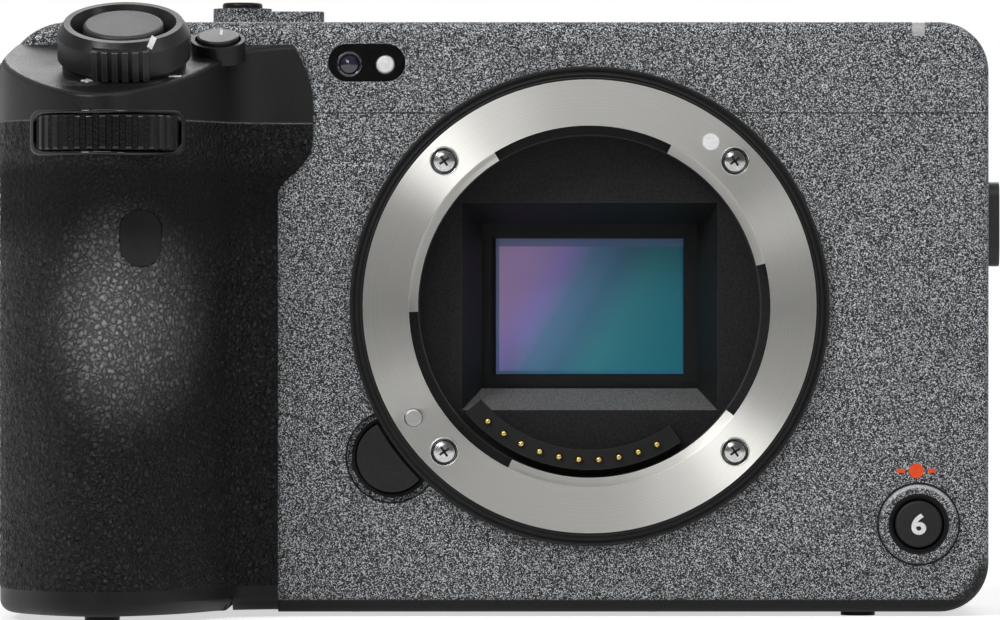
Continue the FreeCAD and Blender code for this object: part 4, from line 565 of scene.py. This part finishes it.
# Painted shade in the well and a painted shadow round the foot of the record button's collar, and a painted highlight
# on its upper rim.
beside = from_front(tree, place, record_middle)
reach = length_of(tree, beside)
record_painted_shade = calc(tree, "MAXIMUM", line_at(tree, reach, 5.2, 0.2, 0.05), spread(tree, reach, 3.95, 3.85))
dark = calc(tree, "MAXIMUM", dark, calc(tree, "MULTIPLY", record_painted_shade, front))
upper = calc(tree, "MULTIPLY", spread(tree, axis_of(tree, beside, "Z"), 0.5, 4.5), front)
lit = calc(tree, "MULTIPLY", line_at(tree, reach, 4.8, 0.32, 0.08), upper)
paint = mixed(tree, calc(tree, "MULTIPLY", lit, 0.6), paint, grey(0.75))

# The band round the lower right corner, and the rubber from y 47.1 mm on.
corner = {0: from_front(tree, place, corner_middle), 1: (0, 0, -past_body)}
corner = wire(tree, "VectorMath", corner, operation="MAXIMUM").outputs[0]
lower = calc(tree, "MULTIPLY", spread(tree, axis_of(tree, corner, "Z"), 1.5, -1.5), front)
corner = wire(tree, "VectorMath", {0: corner, 1: (past_body, 0, 0)}, operation="MINIMUM").outputs[0]
band = calc(tree, "MULTIPLY", spread(tree, length_of(tree, corner), 4.2, 5.2), 0.9)
dark = calc(tree, "MAXIMUM", dark, calc(tree, "MULTIPLY", band, lower))
dark = calc(tree, "MAXIMUM", dark, spread(tree, back, 0.0471, 0.0474))

tree.links.new(mixed(tree, dark, paint, grey(0.008)), shader.inputs["Base Color"])
tree.links.new(spread(tree, speckle, 0.3, 0.7, 0.62, 0.42), shader.inputs["Roughness"])
tree.links.new(spread(tree, speckle, 0.5, 0.75, 0.0, 0.3), shader.inputs["Metallic"])
bumped(tree, shader, speckle, 0.00002, 0.6)
dress(coat_look, "front_cover", "top_cover", "rear_cover", "record_collar", "power_lever")
dress(machined("shoe_steel", grey(0.2), 0.35, 0.0003), "shoe_rails")

# The lower cover, the foot of the grip, the doors and their panel: moulded plastic, satin black
# below and at the grip, a little paler and rougher on the panel with the sockets.
satin_look = moulded("satin_black", grey(0.007), 0.34, 0.00035, 0.00002, 0.35, 0.3)
dress(satin_look, "bottom_cover", "grip_base", "battery_door", "battery_latch", "card_door", "power_button")
panel_look = moulded("panel_black", grey(0.016), 0.5, 0.0004, 0.00004, 0.35, 0.3)
dress(panel_look, "port_panel", "upper_port_door", "lower_port_door")

# The pill window on the front: gloss black, with the focus eye's lens on the left and the pale
# help lamp on the right. The tally lamp has the same milky lens, dimmer.
eye_middle = (-30.7, 2.85, 30.9)
dress(moulded("gloss_window", grey(0.004), 0.06, 0.0006, 0.0000005, 0.2, 0.5), "sensor_window")
dress(moulded("pale_lamp", grey(0.9), 0.25, 0.0005, 0.00002, 0.0, 0.5), "assist_lamp")
dress(moulded("dim_lamp", grey(0.42), 0.25, 0.0005, 0.00002, 0.0, 0.5), "tally_lamp")
eye_bm = bmesh.new()
eye_outline = [(0, 0), (1.65, 0), (1.65, 0.16), (1.55, 0.22), (1.4, 0.2)]
eye_outline += [(1.3, 0.06), (1.1, 0.1), (0.6, 0.3), (0, 0.36)]
turned(eye_bm, eye_outline, standing(eye_middle, forward))
eye_sockets = {"Roughness": 0.05, "Specular IOR Level": 0.8, "Coat Weight": 1.0, "Coat Roughness": 0.03}
eye_look, tree, shader = principled("eye_glass", eye_sockets)
film = wire(tree, "TexNoise", {"Vector": own_point(tree), "Scale": 700.0, "Detail": 2.0})
tint = mixed(tree, spread(tree, film.outputs[0], 0.4, 0.6), (0.006, 0.005, 0.012, 1), (0.03, 0.02, 0.05, 1))
tree.links.new(tint, shader.inputs["Base Color"])
piece("focus_eye", eye_bm, eye_look, "camera", 60)

# The record button on the front: a satin cap with a white 6 in a well darkened by painted shade, and a red record mark
# above it, a dot between two dashes, both printed.
cap_look = moulded("cap_black", grey(0.018), 0.42, 0.0004, 0.00002, 0.4, 0.3)
dress(cap_look, "record_button", "lens_release_button")
white_print = moulded("white_print", grey(0.8), 0.45, 0.0003, 0.000004, 0.0, 0.4)
red_print = moulded("red_print", (0.85, 0.075, 0.012, 1), 0.45, 0.0003, 0.000004, 0.0, 0.4)


def facing(point, way, up=(0, 0, 1)):
    """The place of a flat mark drawn about the origin in millimetres, facing a given way."""
    out = Vector(way).normalized()
    right = Vector(up).cross(out).normalized()
    turn = Matrix((right, out.cross(right), out)).transposed().to_4x4()
    return Matrix.Scale(0.001, 4) @ Matrix.Translation(point) @ turn


def printed(name, text, height, point, way, look, body, wide=1.0, weight=0.012):
    """A printed figure, its height in millimetres, its middle on a point, facing a given way."""
    curve = bpy.data.curves.new(name, "FONT")
    curve.body = text
    curve.extrude = 0.01
    curve.offset = weight
    letters = bpy.data.objects.new(name, curve)
    bpy.context.scene.collection.objects.link(letters)
    bpy.context.view_layer.update()
    shaped = bpy.data.meshes.new_from_object(letters.evaluated_get(bpy.context.evaluated_depsgraph_get()))
    bpy.data.objects.remove(letters)
    bm = bmesh.new()
    bm.from_mesh(shaped)
    bmesh.ops.remove_doubles(bm, verts=bm.verts, dist=1e-5)
    low = Vector(min(v.co[i] for v in bm.verts) for i in range(3))
    high = Vector(max(v.co[i] for v in bm.verts) for i in range(3))
    size = height / (high.y - low.y)
    place = facing(point, way) @ Matrix.Diagonal((size * wide, size, 1.0, 1.0))
    bmesh.ops.transform(bm, matrix=place @ Matrix.Translation(-(low + high) / 2), verts=bm.verts)
    return piece(name, bm, look, body)


def stroke(bm, place, start, end, width):
    """Adds a printed line with square ends between two points of a surface."""
    along = Vector((end[0] - start[0], end[1] - start[1], 0))
    middle = ((start[0] + end[0]) / 2, (start[1] + end[1]) / 2, 0)
    verts = bmesh.ops.create_cube(bm, size=1.0)["verts"]
    bmesh.ops.scale(bm, vec=(along.length, width, 0.02), verts=verts)
    bmesh.ops.rotate(bm, cent=(0, 0, 0), matrix=Matrix.Rotation(math.atan2(along.y, along.x), 3, "Z"), verts=verts)
    bmesh.ops.translate(bm, vec=middle, verts=verts)
    settle(bm, verts, place)


cap_face = (record_middle[0], 1.84, record_middle[1])
printed("record_figure", "6", 2.7, cap_face, forward, white_print, "record_button", 1.12, 0.03)
mark_bm = bmesh.new()
mark_place = facing((41.7, 2.59, -21.0), forward)
for start, end in ((-2.5, -1.45), (1.45, 2.5)):
    stroke(mark_bm, mark_place, (start, 0), (end, 0), 0.5)
turned(mark_bm, [(0, -0.01), (0.95, -0.01), (0.95, 0.01), (0, 0.01)], mark_place, 32)
piece("record_mark", mark_bm, red_print, "camera")

# The grip: a stiff frame under a moulded rubber skin with a leather grain, with a painted highlight on the raised
# grain where the palm lies, and an oval infrared window flush in it.
highlight_middle = (-58.0, -2.0)
highlight_half = (9.0, 13.0)
dress(moulded("grip_frame", grey(0.010), 0.5, 0.0005, 0.00004, 0.3, 0.3), "grip_shell")
leather_look, tree, shader = principled("grip_skin", {"Specular IOR Level": 0.28})
place = own_point(tree)
warp = wire(tree, "TexNoise", {"Vector": place, "Scale": 700.0, "Detail": 2.0})
shift = wire(tree, "VectorMath", {0: warp.outputs["Color"], 1: (0.0009, 0.0009, 0.0009)}, operation="MULTIPLY")
bent = wire(tree, "VectorMath", {0: place, 1: shift.outputs[0]}, operation="ADD").outputs[0]
pebbles = wire(tree, "TexVoronoi", {"Vector": bent, "Scale": 1250.0}, feature="DISTANCE_TO_EDGE")
creases = wire(tree, "TexVoronoi", {"Vector": bent, "Scale": 2600.0}, feature="DISTANCE_TO_EDGE")
tops = calc(tree, "MULTIPLY", spread(tree, pebbles.outputs[0], 0.0, 0.32), 0.7)
height = calc(tree, "ADD", tops, calc(tree, "MULTIPLY", spread(tree, creases.outputs[0], 0.0, 0.3), 0.3))
skin = grouped(tree, grain_group, {"Size": 0.0003})
tone = calc(tree, "MULTIPLY", height, 0.7)
tone = calc(tree, "ADD", tone, calc(tree, "MULTIPLY", skin.outputs["Clouds"], 0.3))
relief = wire(tree, "Attribute", {}, attribute_name="pebble").outputs["Fac"]
tone = calc(tree, "MULTIPLY", spread(tree, relief, 0.1, 0.9, 0.3, 1.0), spread(tree, tone, 0.15, 0.75))
# Painted highlight: the raised grain is made pale where the palm lies. Painted shade darkens a zone under the dial,
# and the top rim is pale.
to_highlight = {
    0: place,
    1: (1000 / highlight_half[0], 0, 1000 / highlight_half[1]),
    2: (-highlight_middle[0] / highlight_half[0], 0, -highlight_middle[1] / highlight_half[1]),
}
highlight_reach = length_of(tree, wire(tree, "VectorMath", to_highlight, operation="MULTIPLY_ADD").outputs[0])
painted_palm_highlight = calc(tree, "MULTIPLY", spread(tree, highlight_reach, 1.3, 0.15), spread(tree, tone, -0.35, 0.85))
rise = axis_of(tree, place, "Z")
painted_under_shade = calc(tree, "MULTIPLY", spread(tree, rise, 0.005, 0.012), spread(tree, rise, 0.019, 0.0165))
brim = spread(tree, rise, 0.02318, 0.0233)
shaded_grain_tone = mixed(tree, tone, grey(0.002), mixed(tree, painted_under_shade, grey(0.034), grey(0.002)))
shaded_grain_tone = mixed(tree, calc(tree, "MULTIPLY", brim, 0.8), shaded_grain_tone, grey(0.2))
tree.links.new(mixed(tree, painted_palm_highlight, shaded_grain_tone, grey(0.38)), shader.inputs["Base Color"])
dull = calc(tree, "ADD", spread(tree, height, 0.2, 0.9, 0.42, 0.27), calc(tree, "MULTIPLY", painted_under_shade, 0.3))
tree.links.new(dull, shader.inputs["Roughness"])
bumped(tree, shader, height, 0.0003)


def sliced(bm, faces, axis, low, steps, pitch):
    """Cuts faces by even planes across an axis, by halves, so that each cut meets few faces."""
    if steps < 2 or not faces:
        return faces
    way = Vector((axis == 0, axis == 1, axis == 2))
    half = low + (steps // 2) * pitch
    geom = list({v for f in faces for v in f.verts}) + list({e for f in faces for e in f.edges}) + faces
    cut = bmesh.ops.bisect_plane(bm, geom=geom, dist=1e-8, plane_co=way * half, plane_no=way)
    faces = [g for g in cut["geom"] if isinstance(g, bmesh.types.BMFace)]
    below = [f for f in faces if f.calc_center_median()[axis] < half]
    above = [f for f in faces if f.calc_center_median()[axis] >= half]
    below = sliced(bm, below, axis, low, steps // 2, pitch)
    return below + sliced(bm, above, axis, half, steps - steps // 2, pitch)


def smooth(value, low, high):
    """0 at low and 1 at high, smoothly between."""
    share = min(1.0, max(0.0, (value - low) / (high - low)))
    return share * share * (3 - 2 * share)


def surface_of(node):
    """A node's surface, for lines of sight to end on."""
    bm = bmesh.new()
    bm.from_mesh(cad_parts[node].data)
    made = BVHTree.FromBMesh(bm)
    bm.free()
    return made


skin_bm = bmesh.new()
skin_bm.from_mesh(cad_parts["grip_leather"].data)
bmesh.ops.remove_doubles(skin_bm, verts=skin_bm.verts, dist=1e-6)
shell_surface = surface_of("grip_shell")
# A face that looks at the frame close by is an inner one and keeps its shape.
outer = []
for face in skin_bm.faces:
    face.normal_update()
    start = face.calc_center_median() - face.normal * 0.0002
    if shell_surface.ray_cast(start, face.normal, 0.0008)[0] is None and abs(face.normal.z) < 0.8:
        outer.append(face)
# The outer faces are cut along all three axes, but not by planes that they nearly lie in.
skin_pitch = 0.0004
for axis in range(3):
    low = min(v.co[axis] for v in skin_bm.verts)
    high = max(v.co[axis] for v in skin_bm.verts)
    left_whole = [f for f in outer if abs(f.normal[axis]) > 0.72]
    crossed = [f for f in outer if abs(f.normal[axis]) <= 0.72]
    outer = left_whole + sliced(skin_bm, crossed, axis, low, round((high - low) / skin_pitch), skin_pitch)
skin_bm.normal_update()
kept = set(outer)
moves = {}
noise.seed_set(1)  # unseeded, the grain would differ from run to run
layer = skin_bm.verts.layers.float.new("pebble")
for vert in {v for f in outer for v in f.verts}:
    if any(f not in kept for f in vert.link_faces):
        continue
    point = vert.co * 1000.0
    # Going down the front, it dips under the dial, swells for the palm and is flush at the foot.
    swell = -0.4 * smooth(point.z, 18.5, 14.5) + 2.4 * smooth(point.z, 13.5, -8.0)
    swell -= 2.0 * smooth(point.z, -10.0, -34.0)
    swell *= max(0.0, -vert.normal.y) ** 2 * smooth(point.x, -38.0, -60.0)
    flat_edge = all(e.calc_face_angle(0.0) < 0.6 for e in vert.link_edges)
    slanted = Vector((point.x * 1.05 + point.z * 0.35, point.y * 1.1, point.z * 1.3 - point.x * 0.25))
    gaps = noise.voronoi(slanted + noise.noise_vector(point * 0.9) * 0.25)[0]
    vert[layer] = smooth(gaps[1] - gaps[0], 0.0, 0.5)
    pebble = vert[layer] * 0.15 - 0.06
    moves[vert] = vert.normal * (swell + pebble * flat_edge) / 1000.0
for vert, move in moves.items():
    vert.co += move
skin = piece("leather_skin", skin_bm, leather_look, "camera", 60)
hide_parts("grip_leather")

filter_look, tree, shader = principled("window_black", {"Roughness": 0.3, "Specular IOR Level": 0.3})
depth = spread(tree, axis_of(tree, own_point(tree), "Z"), 0.011, 0.0045)
fine = grouped(tree, grain_group, {"Size": 0.0003})
bloom = calc(tree, "MULTIPLY", depth, spread(tree, fine.outputs["Clouds"], 0.2, 0.6))
tree.links.new(mixed(tree, bloom, grey(0.002), grey(0.03)), shader.inputs["Base Color"])
dress(filter_look, "ir_window")

# The nose cover of the grip and the controls on its deck: a zoom ring with a shutter button in
# it, a custom button, and a front dial behind its slot, all moulded black.
# Its rounded edges are made strongly pale, a painted highlight along the rim.
deck_look = moulded("deck_black", grey(0.009), 0.36, 0.0003, 0.00006, 1.0, 0.35)
dress(deck_look, "grip_top_cover")
ring_black = moulded("ring_black", grey(0.014), 0.32, 0.0004, 0.00001, 1.0, 0.4)
dress(ring_black, "zoom_lever", "custom_button")
dress(moulded("shutter_black", grey(0.05), 0.42, 0.0003, 0.00001, 0.3, 0.4), "shutter_button")
dial_look = moulded("dial_black", grey(0.006), 0.16, 0.0004, 0.00001, 0.6, 0.7)
dress(dial_look, "front_dial", "rear_dial", "control_wheel")


def met(node, x, z):
    """Where the camera's line through x, z of the mount's plane (mm) meets a node, and how it faces."""
    way = (Vector((x, 0, z)) / 1000.0 - eye_point).normalized()
    point, normal = surface_of(node).ray_cast(eye_point, way)[:2]
    return (point + normal * 0.00001) * 1000.0, normal


mark_bm = bmesh.new()
for x, z, strokes in ((-64.0, 28.75, ((-0.75, 0.95), (-0.18, 2.4))), (-52.8, 29.3, ((-0.8, 0.95),))):
    point, normal = met("grip_top_cover", x, z)
    for left, deep in strokes:
        stroke(mark_bm, facing(point, normal), (left, 0), (-left, 0), deep)
piece("zoom_marks", mark_bm, white_print, "camera")
mark_bm = bmesh.new()
point, normal = met("zoom_lever", -55.7, 33.6)
stroke(mark_bm, facing(point, normal), (-0.5, -0.75), (0.35, 0.75), 0.75)
piece("zoom_index", mark_bm, white_print, "zoom_lever")
point, normal = met("custom_button", -46.9, 34.9)
printed("custom_figure", "1", 1.9, point, normal, white_print, "custom_button")

# A gloss black bead, pressed in round the dial's slot, follows the curve of the nose and the
# skin. Each of its loops is a rounded oblong, grown from the slot and dropped into the skin.
slot_middle = (-60.4, 21.7)
slot_half = (9.3, 2.45)
skin_levels = (17.9, 25.4)
bead_loops = (
    (0.45, 1.35, 0.15),
    (0.4, 1.35, -0.12),
    (0.2, 1.3, -0.28),
    (-0.05, 1.25, -0.2),
    (-0.22, 1.2, 0.2),
    (-0.25, 1.2, 1.2),
)
skin_points, skin_faces = [], []
for node in ("grip_leather", "grip_top_cover"):
    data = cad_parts[node].data
    start = len(skin_points)
    skin_points += [v.co.copy() for v in data.vertices]
    skin_faces += [[i + start for i in f.vertices] for f in data.polygons]
skin_tree = BVHTree.FromPolygons(skin_points, skin_faces)
trim_bm = bmesh.new()
loops = []
for grow, corner_r, drop in bead_loops:
    half = (slot_half[0] + grow - corner_r, slot_half[1] + grow - corner_r)
    sides = (Vector((-2 * half[0], 0)), Vector((0, -2 * half[1])), Vector((2 * half[0], 0)), Vector((0, 2 * half[1])))
    spots = []
    for quarter, sign in enumerate(((1, 1), (-1, 1), (-1, -1), (1, -1))):
        middle = Vector((sign[0] * half[0], sign[1] * half[1]))
        for step in range(9):
            angle = math.radians(quarter * 90 + step * 11.25)
            spots.append(middle + Vector((math.cos(angle), math.sin(angle))) * corner_r)
        last = spots[-1]
        parts = (16, 4)[quarter % 2]
        spots += [last + sides[quarter] * (k / parts) for k in range(1, parts)]
    loop = []
    for spot in spots:
        x, z = spot.x + slot_middle[0], spot.y + slot_middle[1]
        starts = (Vector((x, -80.0, level)) / 1000.0 for level in skin_levels)
        foot, brow = (skin_tree.ray_cast(start, Vector((0, 1, 0)))[0].y for start in starts)
        depth = foot + (brow - foot) * (z - skin_levels[0]) / (skin_levels[1] - skin_levels[0])
        loop.append(trim_bm.verts.new((x / 1000.0, depth + drop / 1000.0, z / 1000.0)))
    loops.append(loop)
for before, behind in zip(loops, loops[1:]):
    for index, vert in enumerate(before):
        after = (index + 1) % len(before)
        trim_bm.faces.new((vert, before[after], behind[after], behind[index]))
gloss_black = moulded("gloss_black", grey(0.005), 0.16, 0.0005, 0.000001, 0.5, 0.7)
piece("front_dial_trim", trim_bm, gloss_black, "camera", 60)

# The top and the sides: threaded steel bushes pressed into the covers, and cast strap lugs with
# a dark grey coat.
dress(machined("bush_steel", grey(0.5), 0.35), "thread_bushes")
dress(moulded("lug_coat", grey(0.07), 0.45, 0.0003, 0.00002, 0.5, 0.4), "strap_lugs")

# The back: a side-opening screen behind glass, a wheel with its middle button, a stick and three
# buttons, moulded in the same satin black. Their plain icons and the wheel's ticks are printed.
screen_middle = (0.0075, 0.001)
wheel_middle = (-55.0, -17.0)
tick_r = 7.3
backward = (0, 1, 0)
dress(satin_look, "screen_arm", "screen_shell")
dress(satin_look, "joystick", "select_button", "menu_button", "function_button", "playback_button")
screen_look, tree, shader = principled("display_glass", {"Specular IOR Level": 0.5})
place = own_point(tree)
shown_x = line_at(tree, axis_of(tree, place, "X"), screen_middle[0], 0.0252, 0.025)
shown_z = line_at(tree, axis_of(tree, place, "Z"), screen_middle[1], 0.0192, 0.019)
film = wire(tree, "TexNoise", {"Vector": place, "Scale": 60.0, "Detail": 3.0})
panel = mixed(tree, calc(tree, "MINIMUM", shown_x, shown_z), grey(0.003), grey(0.016, -0.15))
tree.links.new(panel, shader.inputs["Base Color"])
tree.links.new(spread(tree, film.outputs[0], 0.35, 0.7, 0.04, 0.12), shader.inputs["Roughness"])
dress(screen_look, "screen_glass")

icon_bm = bmesh.new()
icon_place = facing((-33.0, 47.72, -22.0), backward)
triangle = [icon_bm.verts.new(icon_place @ Vector(c)) for c in ((-0.7, -0.9, 0), (0.9, 0, 0), (-0.7, 0.9, 0))]
made = bmesh.ops.extrude_face_region(icon_bm, geom=[icon_bm.faces.new(triangle)])
sunk = [g for g in made["geom"] if isinstance(g, bmesh.types.BMVert)]
bmesh.ops.translate(icon_bm, verts=sunk, vec=(0, -0.00005, 0))
piece("playback_icon", icon_bm, white_print, "playback_button")
icon_bm = bmesh.new()
icon_place = facing((-33.0, 47.71, 30.2), backward)
for height in (-0.7, 0, 0.7):
    stroke(icon_bm, icon_place, (-1.0, height), (1.0, height), 0.26)
piece("menu_icon", icon_bm, white_print, "menu_button")
icon_bm = bmesh.new()
icon_place = facing((-33.0, 47.71, -8.0), backward)
for x, z in ((-0.55, -0.55), (0.55, -0.55), (-0.55, 0.55), (0.55, 0.55)):
    stroke(icon_bm, icon_place, (x - 0.35, z), (x + 0.35, z), 0.7)
piece("function_icon", icon_bm, white_print, "function_button")
icon_bm = bmesh.new()
for degrees in (0, 90, 180, 270):
    out = on_circle(1.0, degrees, 0)
    spot = (wheel_middle[0] + tick_r * out.x, 48.31, wheel_middle[1] + tick_r * out.z)
    stroke(icon_bm, facing(spot, backward, out), (0, -0.8), (0, 0.8), 0.3)
piece("wheel_ticks", icon_bm, white_print, "control_wheel")

# Housing screws: small black cross-head screws, let into the covers from below, from the back
# and from the side, where nothing else lies over them.
small_head_r = 1.25
small_length = 1.0
small_cross_r = 1.1
small_dome = 0.12
black_screw = machined("black_screw", grey(0.05), 0.3, 0.0003)
screw_bm = bmesh.new()
mark_bm = bmesh.new()
sights = [((x, y, -60), (0, 0, 1)) for x, y in ((46, 8), (46, 40), (8, 8), (8, 40), (-30, 8), (-30, 40))]
sights += [((x, 70, z), (0, -1, 0)) for x, z in ((-70.5, 31.5), (-70.5, -34.5), (47, -31.5), (-38, -34.5))]
sights += [((70, y, z), (-1, 0, 0)) for y, z in ((12, 20), (38, 20), (12, -32), (38, -32))]
screen_nodes = ("screen_arm", "screen_shell")
cover_nodes = ("bottom_cover", "rear_cover", "top_cover", "port_panel", "front_cover")
surfaces = {node: surface_of(node) for node in cover_nodes + screen_nodes}
for start, way in sights:
    start, way = Vector(start) / 1000.0, Vector(way)
    hits = []
    for node, surface in surfaces.items():
        point, normal = surface.ray_cast(start, way)[:2]
        if point:
            hits.append(((point - start).length, point, normal, node))
    point, normal, node = min(hits, key=lambda hit: hit[0])[1:]
    if normal.dot(way) < -0.99 and node not in screen_nodes:
        seat = point * 1000.0 - way * small_dome
        cross_screw(screw_bm, seat, -way, small_head_r, small_length, small_dome)
        # Painted shade: a dark cross over each head stands for its recess.
        cross_recess_shade(mark_bm, seat, -way, small_cross_r)
piece("housing_screws", screw_bm, black_screw, "camera")
piece("housing_screw_recesses", mark_bm, recess_shade_look, "camera")

# The battery and the card slide into the grip: a grey black case with rounded edges and a thin
# dark blue one, both moulded.
dress(moulded("battery_case", grey(0.02), 0.45, 0.0005), "battery")
dress(moulded("card_case", (0.012, 0.02, 0.05, 1), 0.45, 0.0005), "memory_card")
